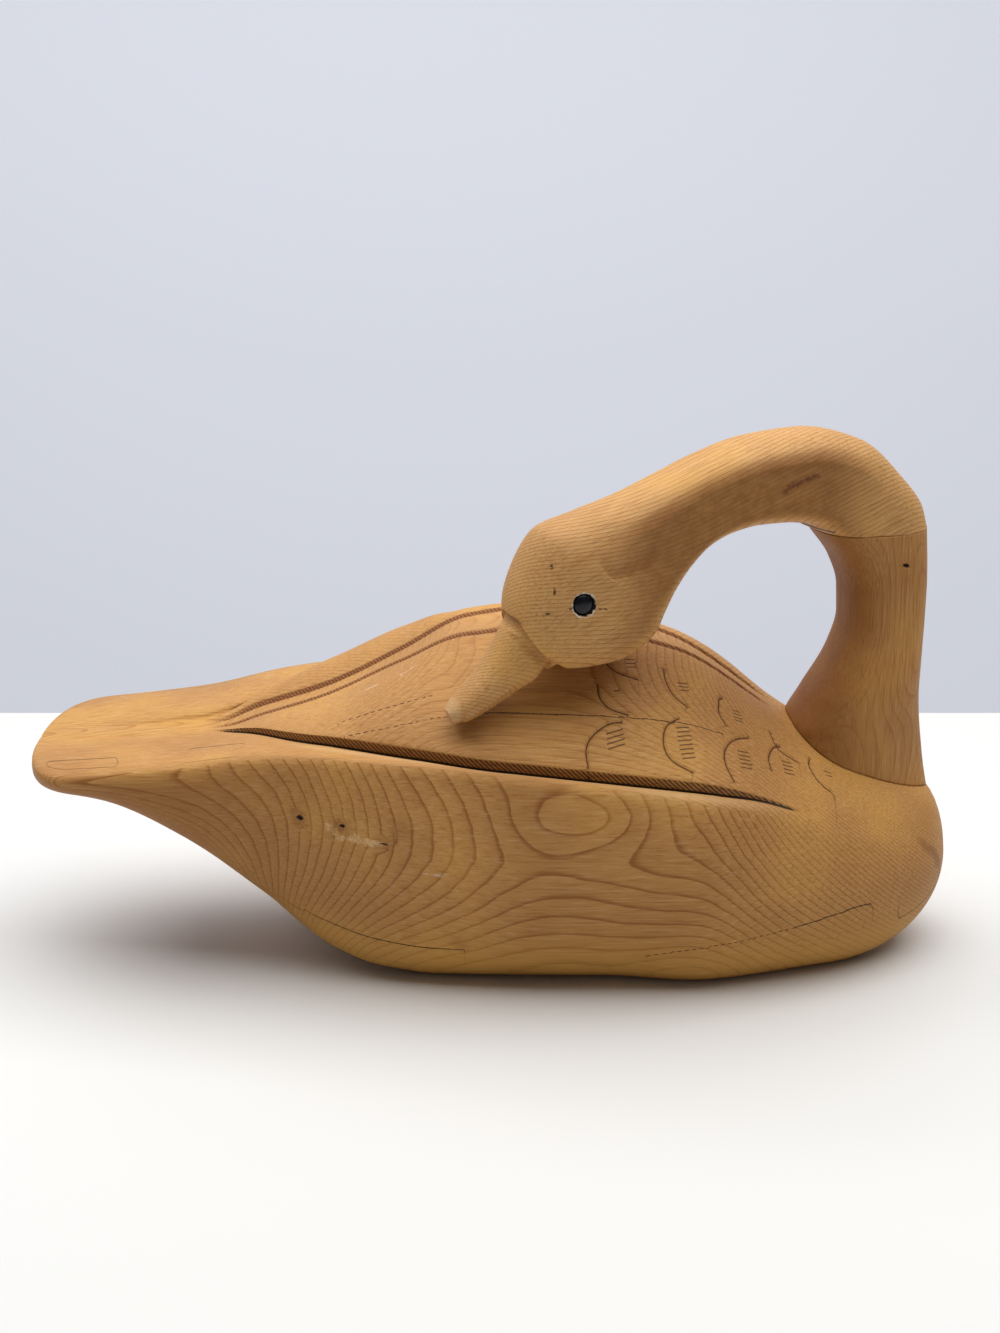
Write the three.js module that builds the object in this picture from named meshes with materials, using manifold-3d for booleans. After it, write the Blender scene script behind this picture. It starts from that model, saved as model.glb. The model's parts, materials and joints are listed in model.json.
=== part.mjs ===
// A carved wooden swan decoy that turns its head back over its wing.
// Millimetres, +Z up. The breast points to +X and the head is turned to -Y.
// The origin is on the standing surface, under the middle of the body.
import * as THREE from "three";
import { mergeVertices } from "three/addons/utils/BufferGeometryUtils.js";
import Module from "manifold-3d";

// Driving sizes
const BODY_LENGTH = 610; // tail tip to breast
const BODY_HALF_WIDTH = 131;
const BACK_HEIGHT = 225; // standing surface to the crest of the back
const TAIL_CORNER = 36; // length over which the tail's end rounds in plan
const BREAST_PLAN = 190; // length over which the breast rounds in plan
const BREAST_CHIN = 17; // the same in profile, above the foremost point
const BREAST_KEEL = 80; // and below it
const BREAST_TIP_HEIGHT = 60; // height of the foremost point
const FLANK_BULGE = 10; // how far the flank swells past the crease above it
const WING_STEP = 7; // height of the wing's edge over the ledge outside it
const WING_UNDERCUT = 6; // how far the groove runs in below the wing's edge
const LEDGE_MARGIN = 1.5; // flat rim outside the groove
const PLAIN_MARGIN = 4; // the same where there is no groove
const BACK_GROOVE_WIDTH = 6;
const BACK_GROOVE_DEPTH = 3;
const NECK_DEPTH = 75; // front to back, at the joint of the neck
const NECK_WIDTH = 70; // thickness of the plank that the head is cut from
const NECK_SET_BACK = 61.4; // from the foremost point back to the middle of the neck
const NECK_SINK = 7.5; // how far the neck is drawn into the body before it is fitted to its skin
const HEAD_REACH = 291; // middle of the neck to the tip of the bill
const HEAD_TURN = 20; // degrees towards the near side
const HEAD_GAP = 2; // closest that the head comes to the wing
const JOINT_GAP = 0.3; // glue line between neighbouring pieces
const SEAT_GAP = 0.4; // the same where the neck stands on the body
const EYE_DIAMETER = 13;
const EYE_SOCKET_DEPTH = 5;
const EYE_DOME = 3;
const EYE_FIT = 0.3;

// Numbers of facets
const STATION_PITCH = 11;
const END_STATIONS = 8;
const FLANK_STEPS = 8;
const WING_STEPS = 7;
const NECK_SIDES = 24;
const POST_RINGS = 16;
const HEAD_RINGS = 44;
const EYE_SIDES = 20;
const EYE_DOME_STEPS = 4;

const WOOD = { color: 0xc98f4e, roughness: 0.6, metalness: 0 };
const NECK_WOOD = { color: 0xc08447, roughness: 0.6, metalness: 0 };
const HEAD_WOOD = { color: 0xd39c5c, roughness: 0.6, metalness: 0 };
const EYE_GLASS = { color: 0x14141c, roughness: 0.15, metalness: 0 };

const radians = THREE.MathUtils.degToRad;
const mix = THREE.MathUtils.lerp;
const clamp = THREE.MathUtils.clamp;

// A smooth curve through knots [place, value] that never swings past a knot.
function smoothLine(knots) {
  const slopes = knots.slice(1).map((k, i) => (k[1] - knots[i][1]) / (k[0] - knots[i][0]));
  const tangents = knots.map((_, i) => {
    if (i === 0 || i === slopes.length) return slopes[Math.min(i, slopes.length - 1)];
    const [before, after] = [slopes[i - 1], slopes[i]];
    return before * after <= 0 ? 0 : (2 * before * after) / (before + after);
  });
  return (place) => {
    const at = clamp(place, knots[0][0], knots[knots.length - 1][0]);
    let i = 0;
    while (i < slopes.length - 1 && at > knots[i + 1][0]) i++;
    const width = knots[i + 1][0] - knots[i][0];
    const t = (at - knots[i][0]) / width;
    const start = knots[i][1] * (1 + 2 * t) * (1 - t) ** 2 + width * tangents[i] * t * (1 - t) ** 2;
    const end = knots[i + 1][1] * (3 - 2 * t) * t ** 2 + width * tangents[i + 1] * t ** 2 * (t - 1);
    return start + end;
  };
}

// The lines of the body, as a boat's are drawn: percent of the length from the tail,
// then percent of the back's height or of the half width.
const SPINE_HEIGHT = smoothLine([
  [0, 62], [6.6, 63.8], [19.8, 66.4], [24.4, 70.7], [31.5, 76.9], [40, 88], [46.9, 97], [57.4, 100],
  [69.2, 92.2], [82, 69.8], [100, 44.9],
]);
const LEDGE_HEIGHT = smoothLine([
  [0, 62.2], [17.2, 65.8], [26.2, 69.3], [33, 71.1], [41.8, 70.2], [58.2, 66.2], [71.5, 61.6],
  [81.5, 54.4], [100, 37.3],
]);
const CREASE_HEIGHT = smoothLine([
  [0, 62], [16.4, 65.3], [25.9, 69.3], [35.4, 70.7], [42, 70.7], [55.9, 67.8], [64.8, 64.2],
  [76.4, 56.2], [89.3, 42.2], [100, 32],
]);
const KEEL_HEIGHT = smoothLine([
  [0, 56], [8, 51], [16.7, 37.2], [25.4, 18.6], [29, 11], [33, 5.6], [38, 2.2], [44.3, 0], [100, 0],
]);
const CREASE_WIDTH = smoothLine([
  [0, 64.1], [16.4, 66.4], [25.9, 71], [42, 90.1], [55.9, 98.1], [71.3, 92.7], [81.5, 83], [100, 72],
]);
const WING_WIDTH = smoothLine([
  [0, 7.6], [17.2, 9.2], [22.5, 21.4], [31.6, 57.3], [41.8, 76.3], [50.3, 85.5], [63.1, 86.6],
  [81.5, 77], [100, 58],
]);
const BAND_WIDTH = smoothLine([
  [0, 3.8], [19.5, 4.6], [23, 8.4], [36.1, 9.2], [50, 18.7], [59.8, 19.1], [73.6, 9.2], [81.1, 7.6],
  [87.7, 20], [100, 26],
]);
const BASE_WIDTH = smoothLine([
  [0, 30.5], [16.7, 21.4], [25.4, 22.9], [32.6, 42], [38, 51.9], [61.5, 52.7], [71.5, 61],
  [83.6, 50], [100, 36],
]);
const WING_ROUNDNESS = smoothLine([
  [0, 2], [36, 3.2], [42, 2.2], [46, 1.4], [56, 1.3], [75, 1.4], [100, 2.2],
]);
const FLANK_SWELL = smoothLine([[0, 100], [65, 100], [88, 260], [100, 260]]); // percent of FLANK_BULGE
// The far wing is fuller and its ledge higher, because the near one was hollowed for the turned head.
const FAR_WING_SWELL = smoothLine([
  [18, 0], [25, 2.6], [32, 4.2], [44, 4.4], [52, 5.2], [64, 4.8], [76, 5], [80, 3.4], [86, 0],
]);
const FAR_LEDGE_LIFT = smoothLine([[3, 0], [12, 0.8], [22, 1.8], [29, 2.6], [36, 0.6], [42, 0]]);
// Share of the section's top that is one rounded sweep, as on the breast, and how full that sweep is.
const BREAST_SHARE = smoothLine([[74, 0], [88, 1], [100, 1]]);
const BREAST_ROUNDNESS = 2.4;
const WING_GROOVE = smoothLine([[19, 0], [27, 0.7], [40, 1], [70, 1], [79, 0.4], [82.5, 0]]);
const BACK_GROOVE = smoothLine([[17, 0], [24, 0.8], [35, 1], [76, 1], [81, 0]]);

// The lines of the lower neck: percent of its height, then percent of half its depth at the joint.
const NECK_REAR = smoothLine([
  [0, 136], [27, 130], [38, 104], [56, 53], [67, 37], [77, 38], [88, 56], [100, 100],
]);
const NECK_FRONT = smoothLine([[0, 131], [15, 118], [45, 103], [77, 104], [100, 100]]);
const NECK_SIDE = smoothLine([[0, 106], [20, 104], [40, 100], [65, 95], [100, 100]]);
const NECK_TAPER = smoothLine([[0, 0.45], [15, 0.4], [50, 0], [100, 0]]); // narrower in front, egg-shaped

// The lines of the head and upper neck in its own plane, from the joint to the tip of the bill.
// Each row is [along, up] of the crown side, [along, up] of the throat side, in percent of the
// reach, and the half thickness in percent of half the plank.
const HEAD_LINES = [
  [-11.4, 5, 16.2, 1.4, 101],
  [-5.6, 12.2, 19.2, 2.7, 103],
  [3.8, 20.2, 24, 3, 103],
  [15.8, 23, 30.2, 2.8, 101],
  [28.9, 22, 36.6, 1.5, 98],
  [40.5, 18.9, 41.7, -1.1, 93],
  [50.9, 14.8, 45.5, -5.2, 90],
  [60.5, 11, 48.6, -9.9, 92],
  [70.2, 8, 51.1, -15, 99],
  [78.6, 5.1, 53, -19.2, 105],
  [83.8, -2.5, 56.8, -22.3, 106],
  [86, -9.4, 62.6, -24.6, 98],
  [86.4, -14.4, 70.4, -25.3, 84],
  [87, -15.5, 73.3, -25.3, 74],
  [87.4, -16.5, 75.4, -24.5, 55],
  [89.3, -20, 79.3, -26.7, 49],
  [92.2, -24.4, 84.9, -30.2, 45],
  [96, -28.5, 91, -33.7, 41],
  [98.8, -31.3, 95.7, -35.7, 34],
  [100, -33, 98.8, -35.9, 20],
];
const NECK_SQUARENESS = 2.5;
const EYE_ALONG = 73.3;
const EYE_UP = -8.9;

// Share of full size left at a distance from a rounded end, where the rounding has a length.
function roundEnd(distance, length, squareness = 2) {
  const left = clamp(1 - distance / length, 0, 1);
  return (1 - left ** squareness) ** (1 / squareness);
}

const TAIL_SQUARENESS = 2.5;
const TAIL_X = -BODY_LENGTH / 2;
const BREAST_X = BODY_LENGTH / 2;
const END_FLAT = 0.5; // the ends close with a small flat instead of a point

// All sizes of the body's section at one place along it.
function bodySizes(x) {
  const at = ((x - TAIL_X) / BODY_LENGTH) * 100;
  const fromTail = x - TAIL_X + END_FLAT;
  const fromBreast = BREAST_X - x + END_FLAT;
  const plan = roundEnd(fromTail, TAIL_CORNER, TAIL_SQUARENESS) * roundEnd(fromBreast, BREAST_PLAN);
  const chin = roundEnd(fromBreast, BREAST_CHIN);
  const keel = roundEnd(fromBreast, BREAST_KEEL);
  const high = (line) => mix(BREAST_TIP_HEIGHT, (line(at) * BACK_HEIGHT) / 100, chin);
  const wide = (line) => (line(at) * BODY_HALF_WIDTH * plan) / 100;
  return {
    spine: high(SPINE_HEIGHT),
    ledge: high(LEDGE_HEIGHT),
    crease: high(CREASE_HEIGHT),
    keel: mix(BREAST_TIP_HEIGHT, (KEEL_HEIGHT(at) * BACK_HEIGHT) / 100, keel),
    creaseHalf: wide(CREASE_WIDTH),
    wingHalf: wide(WING_WIDTH),
    bandHalf: wide(BAND_WIDTH),
    baseHalf: wide(BASE_WIDTH),
    bulge: (FLANK_BULGE * FLANK_SWELL(at) * plan) / 100,
    plan,
    farSwell: (FAR_WING_SWELL(at) * BACK_HEIGHT * plan) / 100,
    farLift: (FAR_LEDGE_LIFT(at) * BACK_HEIGHT * plan) / 100,
    breast: BREAST_SHARE(at),
    roundness: WING_ROUNDNESS(at),
    wingGroove: WING_GROOVE(at),
    backGroove: BACK_GROOVE(at),
  };
}

function bezier(a, b, c, d, t) {
  const s = 1 - t;
  return s ** 3 * a + 3 * s * s * t * b + 3 * s * t * t * c + t ** 3 * d;
}

// Height of the wing at a distance y from the spine; the far wing has a positive y.
function wingHeight(sizes, y) {
  const share = clamp((Math.abs(y) - sizes.bandHalf) / (sizes.wingHalf - sizes.bandHalf), 0, 1);
  const edge = sizes.ledge + WING_STEP * sizes.wingGroove;
  const swell = y > 0 ? sizes.farSwell * Math.sin(Math.PI * share) : 0;
  return sizes.spine - (sizes.spine - edge) * share ** sizes.roundness + swell;
}

// Height of the breast's rounded top.
function breastHeight(sizes, y) {
  const share = clamp(Math.abs(y) / sizes.creaseHalf, 0, 1);
  return sizes.crease + (sizes.spine - sizes.crease) * (1 - share ** BREAST_ROUNDNESS);
}

const BILGE_FULLNESS = 0.8; // how soon the flank leaves the underside, as a share of its reach
const FLANK_FULLNESS = 0.38; // how far below the crease it is widest, as a share of its height
const WING_CROWDING = 0.85; // under 1 puts the wing's points closer together at its edge
const SHOULDER_SHARE = 0.5; // where the bend between the crease and the ledge's rim lies
const SHOULDER_RISE = 0.6; // and how much of the rise it has then made

function flankPoints(s, side) {
  const height = s.crease - s.keel;
  const bilge = mix(s.baseHalf, s.creaseHalf, BILGE_FULLNESS);
  const lift = side > 0 ? s.farLift : 0;
  return Array.from({ length: FLANK_STEPS }, (_, i) => {
    const t = (i + 1) / FLANK_STEPS;
    const z = bezier(s.keel, s.keel, s.crease - FLANK_FULLNESS * height, s.crease, t);
    return [bezier(s.baseHalf, bilge, s.creaseHalf + s.bulge, s.creaseHalf, t), z + lift * t ** 2];
  });
}

// The ledge, the groove, the wing and half of the back, from the crease up to the spine.
function topPoints(s, side) {
  const groove = s.wingGroove;
  const ledge = s.ledge + (side > 0 ? s.farLift : 0);
  const crease = s.crease + (side > 0 ? s.farLift : 0);
  const lip = s.wingHalf + mix(PLAIN_MARGIN, LEDGE_MARGIN, groove) * s.plan;
  const inner = s.wingHalf + mix((PLAIN_MARGIN / 2) * s.plan, -WING_UNDERCUT, groove);
  const halfGroove = (BACK_GROOVE_WIDTH / 2) * s.plan;
  const shoulder = [mix(s.creaseHalf, lip, SHOULDER_SHARE), mix(crease, ledge, SHOULDER_RISE)];
  const points = [shoulder, [lip, ledge], [inner, s.ledge - groove]];
  for (let i = 0; i <= WING_STEPS; i++) {
    const y = mix(s.wingHalf, s.bandHalf + halfGroove, (i / WING_STEPS) ** WING_CROWDING);
    points.push([y, wingHeight(s, side * y)]);
  }
  points.push([s.bandHalf, s.spine - BACK_GROOVE_DEPTH * s.backGroove]);
  points.push([s.bandHalf - halfGroove, s.spine], [0, s.spine]);
  return points.map(([y, z]) => [y, mix(z, breastHeight(s, y), s.breast)]);
}

// Half of a section, [y, z] from the middle of the underside out and up to the spine.
function halfSection(x, side) {
  const s = bodySizes(x);
  const under = [[0, s.keel], [s.baseHalf / 2, s.keel], [s.baseHalf, s.keel]];
  return [...under, ...flankPoints(s, side), ...topPoints(s, side)];
}

// Height of the body's upper surface at any place over the wing or the back.
function topHeight(x, y) {
  const s = bodySizes(clamp(x, TAIL_X, BREAST_X));
  return mix(wingHeight(s, y), breastHeight(s, y), s.breast);
}

// A closed mesh from rings of equally many points, with a fan over each end.
function loft(rings) {
  const sides = rings[0].length;
  const middle = (ring) => ring.reduce((sum, p) => sum.add(p), new THREE.Vector3()).divideScalar(sides);
  const points = [...rings.flat(), middle(rings[0]), middle(rings[rings.length - 1])];
  const index = [];
  for (let r = 0; r < rings.length - 1; r++) {
    for (let i = 0; i < sides; i++) {
      const j = (i + 1) % sides;
      const [a, b] = [r * sides + i, r * sides + j];
      index.push(a, b, b + sides, a, b + sides, a + sides);
    }
  }
  const last = (rings.length - 1) * sides;
  for (let i = 0; i < sides; i++) {
    const j = (i + 1) % sides;
    index.push(points.length - 2, j, i);
    index.push(points.length - 1, last + i, last + j);
  }
  const geometry = new THREE.BufferGeometry().setFromPoints(points);
  geometry.setIndex(index);
  return geometry;
}

// Places of the body's sections, closer together where its ends round.
function stations() {
  const places = [];
  for (let i = 0; i < END_STATIONS; i++) {
    places.push(TAIL_X + TAIL_CORNER * (1 - Math.cos((i / END_STATIONS) * (Math.PI / 2))));
  }
  const span = BODY_LENGTH - TAIL_CORNER - BREAST_KEEL;
  const count = Math.round(span / STATION_PITCH);
  for (let i = 0; i < count; i++) places.push(TAIL_X + TAIL_CORNER + (span * i) / count);
  for (let i = 0; i <= END_STATIONS; i++) {
    places.push(BREAST_X - BREAST_KEEL * (1 - Math.sin((i / END_STATIONS) * (Math.PI / 2))));
  }
  return places;
}

function bodyGeometry() {
  const rings = stations().map((x) => {
    const far = halfSection(x, 1).map(([y, z]) => new THREE.Vector3(x, y, z));
    const near = halfSection(x, -1).map(([y, z]) => new THREE.Vector3(x, -y, z));
    return [...far, ...near.slice(1, -1).reverse()];
  });
  return loft(rings);
}

// One ring of the neck or head: a rounded oblong about a middle, spanned by two half axes. Taper
// makes it narrower towards the end that halfDepth points to.
function oblong(middle, halfDepth, halfWidth, taper = 0) {
  const power = 2 / NECK_SQUARENESS;
  return Array.from({ length: NECK_SIDES }, (_, i) => {
    const angle = (-i / NECK_SIDES) * 2 * Math.PI;
    const [c, s] = [Math.cos(angle), Math.sin(angle)];
    const deep = Math.sign(c) * Math.abs(c) ** power;
    const broad = Math.sign(s) * Math.abs(s) ** power * (1 - taper * deep);
    return middle.clone().addScaledVector(halfDepth, deep).addScaledVector(halfWidth, broad);
  });
}

// Where the neck stands on the body, and the two directions of the head's plane seen from above.
const NECK_X = BREAST_X - NECK_SET_BACK;
const NECK_FOOT = topHeight(BREAST_X - BREAST_CHIN, 0) - NECK_SINK;
const along = (turn) => new THREE.Vector3(-Math.cos(turn), -Math.sin(turn), 0);
const across = (turn) => new THREE.Vector3(Math.sin(turn), -Math.cos(turn), 0);
const headAlong = along(radians(HEAD_TURN));
const headAcross = across(radians(HEAD_TURN));

// The head's lines with the neck's own section put in at the joint, in millimetres.
function headRows() {
  const share = HEAD_REACH / 100;
  const half = NECK_WIDTH / 200;
  const joint = [-NECK_DEPTH / 2, 0, NECK_DEPTH / 2, 0, NECK_WIDTH / 2];
  const rows = HEAD_LINES.map((r) => [r[0] * share, r[1] * share, r[2] * share, r[3] * share, r[4] * half]);
  return [joint, ...rows];
}

// Sections of the head between its rows: the places of its crown and throat and its half thickness.
function headSections() {
  const rows = headRows();
  const columns = rows[0].map((_, c) => smoothLine(rows.map((r, i) => [i, r[c]])));
  const count = HEAD_RINGS - 1;
  return Array.from({ length: HEAD_RINGS }, (_, i) => {
    const at = (i / count) * (rows.length - 1);
    return columns.map((column) => column(at));
  });
}

// A point of the head's plane, given along and up from the joint, at a distance across it.
function headPoint(alongPlane, up, side = 0) {
  const point = new THREE.Vector3(NECK_X, 0, up).addScaledVector(headAlong, alongPlane);
  return point.addScaledVector(headAcross, side);
}

function headRing([crownAlong, crownUp, throatAlong, throatUp, halfWidth]) {
  const crown = headPoint(crownAlong, crownUp);
  const throat = headPoint(throatAlong, throatUp);
  const middle = crown.clone().add(throat).multiplyScalar(0.5);
  const halfDepth = crown.clone().sub(throat).multiplyScalar(0.5);
  return oblong(middle, halfDepth, headAcross.clone().multiplyScalar(halfWidth));
}

// Height of the neck's joint: the head is lowered until it nearly touches the wing.
function jointHeight(rings) {
  const wingHalf = (p) => bodySizes(clamp(p.x, TAIL_X, BREAST_X)).wingHalf;
  const overWing = rings.flat().filter((p) => Math.abs(p.y) < wingHalf(p) && p.x < NECK_X - NECK_DEPTH);
  return HEAD_GAP + Math.max(...overWing.map((p) => topHeight(p.x, p.y) - p.z));
}

const sections = headSections();
const headRings = sections.map(headRing);
const JOINT_HEIGHT = jointHeight(headRings);

function headGeometry() {
  const geometry = loft(headRings);
  geometry.translate(0, 0, JOINT_HEIGHT + JOINT_GAP / 2);
  return geometry;
}

// Half thickness of the head beside a point of its plane.
function headSide(alongPlane, up) {
  const distance = ([ca, cu, ta, tu]) => {
    const [da, du] = [ca - ta, cu - tu];
    return Math.abs((alongPlane - ta) * du - (up - tu) * da) / Math.hypot(da, du);
  };
  const nearest = sections.slice(HEAD_RINGS / 2).reduce((a, b) => (distance(b) < distance(a) ? b : a));
  const [ca, cu, ta, tu, half] = nearest;
  const depth = Math.hypot(ca - ta, cu - tu) / 2;
  const k = Math.hypot(alongPlane - (ca + ta) / 2, up - (cu + tu) / 2) / depth;
  return half * (1 - Math.min(k, 1) ** NECK_SQUARENESS) ** (1 / NECK_SQUARENESS);
}

function lowerNeckGeometry() {
  const top = JOINT_HEIGHT - JOINT_GAP / 2;
  const rings = Array.from({ length: POST_RINGS }, (_, i) => {
    const share = i / (POST_RINGS - 1);
    const at = share * 100;
    const turn = radians(HEAD_TURN) * share;
    const rear = (NECK_REAR(at) * NECK_DEPTH) / 200;
    const front = (NECK_FRONT(at) * NECK_DEPTH) / 200;
    const middle = new THREE.Vector3(NECK_X, 0, mix(NECK_FOOT, top, share));
    middle.addScaledVector(along(turn), (rear - front) / 2);
    const halfDepth = along(turn).multiplyScalar(-(rear + front) / 2);
    const halfWidth = across(turn).multiplyScalar((NECK_SIDE(at) * NECK_WIDTH) / 200);
    return oblong(middle, halfDepth, halfWidth, NECK_TAPER(at));
  });
  return loft(rings);
}

// An eye turned about the Z axis: a short pin with a dome, its foot at z = 0.
function eyeGeometry(radius, pin, dome) {
  const profile = [[0, 0], [radius, 0], [radius, pin]];
  for (let i = 1; i < EYE_DOME_STEPS; i++) {
    const angle = (i / EYE_DOME_STEPS) * (Math.PI / 2);
    profile.push([radius * Math.cos(angle), pin + dome * Math.sin(angle)]);
  }
  profile.push([0, pin + dome]);
  const points = profile.map(([r, z]) => new THREE.Vector2(r, z));
  return new THREE.LatheGeometry(points, EYE_SIDES).rotateX(Math.PI / 2);
}

// Places of the two eyes: side is 1 on the near side, where the left eye is.
function eyePlace(side) {
  const share = HEAD_REACH / 100;
  const [eyeAlong, up] = [EYE_ALONG * share, EYE_UP * share];
  const face = headSide(eyeAlong, up);
  const point = headPoint(eyeAlong, up + JOINT_HEIGHT, side * (face - EYE_SOCKET_DEPTH));
  const direction = headAcross.clone().multiplyScalar(side);
  return { point, direction };
}

function placed(geometry, point, direction) {
  const turn = new THREE.Quaternion().setFromUnitVectors(new THREE.Vector3(0, 0, 1), direction);
  return geometry.applyQuaternion(turn).translate(point.x, point.y, point.z);
}

const wasm = await Module();
wasm.setup();

function toSolid(geometry) {
  const bare = geometry.clone();
  bare.deleteAttribute("normal");
  bare.deleteAttribute("uv");
  const merged = mergeVertices(bare, 1e-4);
  const mesh = new wasm.Mesh({
    numProp: 3,
    vertProperties: merged.attributes.position.array,
    triVerts: new Uint32Array(merged.index.array),
  });
  return new wasm.Manifold(mesh);
}

function toGeometry(solid) {
  const mesh = solid.getMesh();
  const geometry = new THREE.BufferGeometry();
  geometry.setAttribute("position", new THREE.BufferAttribute(mesh.vertProperties, 3));
  geometry.setIndex(new THREE.BufferAttribute(mesh.triVerts, 1));
  return geometry;
}

const body = bodyGeometry();
const bodySolid = toSolid(body);

const raisedBody = bodySolid.translate([0, 0, SEAT_GAP]);
const lowerNeck = toGeometry(toSolid(lowerNeckGeometry()).subtract(raisedBody));

let headSolid = toSolid(headGeometry());
const eyes = [["left_eye", 1], ["right_eye", -1]].map(([name, side]) => {
  const { point, direction } = eyePlace(side);
  const drill = eyeGeometry(EYE_DIAMETER / 2, EYE_SOCKET_DEPTH * 3, EYE_DOME);
  headSolid = headSolid.subtract(toSolid(placed(drill, point, direction)));
  const seat = point.clone().addScaledVector(direction, EYE_FIT);
  const bead = eyeGeometry(EYE_DIAMETER / 2 - EYE_FIT, EYE_SOCKET_DEPTH - EYE_FIT, EYE_DOME);
  return [name, placed(bead, seat, direction)];
});

function addPiece(group, name, geometry, look) {
  const flat = geometry.index ? geometry.toNonIndexed() : geometry;
  flat.computeVertexNormals();
  const mesh = new THREE.Mesh(flat, new THREE.MeshStandardMaterial(look));
  mesh.name = name;
  group.add(mesh);
}

const swan = new THREE.Group();
swan.name = "swan_decoy";
addPiece(swan, "body", body, WOOD);
addPiece(swan, "lower_neck", lowerNeck, NECK_WOOD);
addPiece(swan, "head_and_upper_neck", toGeometry(headSolid), HEAD_WOOD);
for (const [name, geometry] of eyes) addPiece(swan, name, geometry, EYE_GLASS);

export default swan;
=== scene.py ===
# %% [markdown]
# # A carved wooden swan decoy, preening
#
# The bird is five pieces: one block for the body, a post for the lower neck, a thick plank sawn and
# carved into the upper neck and head, and two glassy beads for the eyes. Each is built here as a fine
# skin over the same lines that the solid model was drawn from, so that both share every size.
# Sizes are in millimetres until a mesh is made, and the breast points to +X.

import json
import math

import bmesh
import bpy
import numpy as np
from mathutils import Matrix, Vector

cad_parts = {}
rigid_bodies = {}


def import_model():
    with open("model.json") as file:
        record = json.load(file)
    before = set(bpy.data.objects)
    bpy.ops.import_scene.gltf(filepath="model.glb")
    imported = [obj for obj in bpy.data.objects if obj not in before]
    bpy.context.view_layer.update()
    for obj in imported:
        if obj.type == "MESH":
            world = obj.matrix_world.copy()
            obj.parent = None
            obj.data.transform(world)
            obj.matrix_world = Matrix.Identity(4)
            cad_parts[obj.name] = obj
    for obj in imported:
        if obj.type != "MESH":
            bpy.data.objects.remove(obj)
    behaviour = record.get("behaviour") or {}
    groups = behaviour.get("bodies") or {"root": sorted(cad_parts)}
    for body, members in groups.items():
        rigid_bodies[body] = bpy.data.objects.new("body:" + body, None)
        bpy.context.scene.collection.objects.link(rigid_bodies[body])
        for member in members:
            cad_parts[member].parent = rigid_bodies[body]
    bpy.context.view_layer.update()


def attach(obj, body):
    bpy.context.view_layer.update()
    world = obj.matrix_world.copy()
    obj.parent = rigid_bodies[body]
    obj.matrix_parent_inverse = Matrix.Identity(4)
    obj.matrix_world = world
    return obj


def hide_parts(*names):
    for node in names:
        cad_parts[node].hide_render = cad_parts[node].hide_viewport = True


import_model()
MM = 0.001

# %% [markdown]
# ## The lines of the body
#
# A boat builder draws a hull as a few long curves and then saws sections that touch all of them. The
# body is drawn in the same way: its length, half width and back height are sizes, and each line says
# in percent where the spine, the wing's edge, the crease of the flank and the underside run.

# %% Sizes of the body
BODY_LENGTH = 610
BODY_HALF_WIDTH = 131
BACK_HEIGHT = 225
TAIL_CORNER = 36
TAIL_SQUARENESS = 2.5
BREAST_PLAN = 190
BREAST_CHIN = 17
BREAST_KEEL = 80
BREAST_TIP_HEIGHT = 60
FLANK_BULGE = 10
WING_STEP = 7
LEDGE_MARGIN = 1.5
PLAIN_MARGIN = 4
BACK_GROOVE_WIDTH = 6
BACK_GROOVE_DEPTH = 3
END_FLAT = 0.5
TAIL_X = -BODY_LENGTH / 2
BREAST_X = BODY_LENGTH / 2


# %% A smooth line through knots that never swings past a knot
def smooth_line(*knots):
    place, value = np.array(knots, float).T
    width = np.diff(place)
    slope = np.diff(value) / width
    before, after = slope[:-1], slope[1:]
    same_way = before * after > 0
    total = np.where(same_way, before + after, 1)
    inner = np.where(same_way, 2 * before * after / total, 0)
    tangent = np.concatenate([slope[:1], inner, slope[-1:]])

    def line(at):
        at = np.clip(at, place[0], place[-1])
        i = np.clip(np.searchsorted(place, at, side="right") - 1, 0, len(width) - 1)
        t = (at - place[i]) / width[i]
        start = value[i] * (1 + 2 * t) * (1 - t) ** 2 + width[i] * tangent[i] * t * (1 - t) ** 2
        end = value[i + 1] * (3 - 2 * t) * t**2 + width[i] * tangent[i + 1] * t**2 * (t - 1)
        return start + end

    return line


# %% Heights along the body, in percent of the back height
SPINE_HEIGHT = smooth_line(
    (0, 62), (6.6, 63.8), (19.8, 66.4), (24.4, 70.7), (31.5, 76.9), (40, 88), (46.9, 97),
    (57.4, 100), (69.2, 92.2), (82, 69.8), (100, 44.9),
)
LEDGE_HEIGHT = smooth_line(
    (0, 62.2), (17.2, 65.8), (26.2, 69.3), (33, 71.1), (41.8, 70.2), (58.2, 66.2), (71.5, 61.6),
    (81.5, 54.4), (100, 37.3),
)
CREASE_HEIGHT = smooth_line(
    (0, 62), (16.4, 65.3), (25.9, 69.3), (35.4, 70.7), (42, 70.7), (55.9, 67.8), (64.8, 64.2),
    (76.4, 56.2), (89.3, 42.2), (100, 32),
)
KEEL_HEIGHT = smooth_line(
    (0, 56), (8, 51), (16.7, 37.2), (25.4, 18.6), (29, 11), (33, 5.6), (38, 2.2), (44.3, 0), (100, 0)
)

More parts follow.
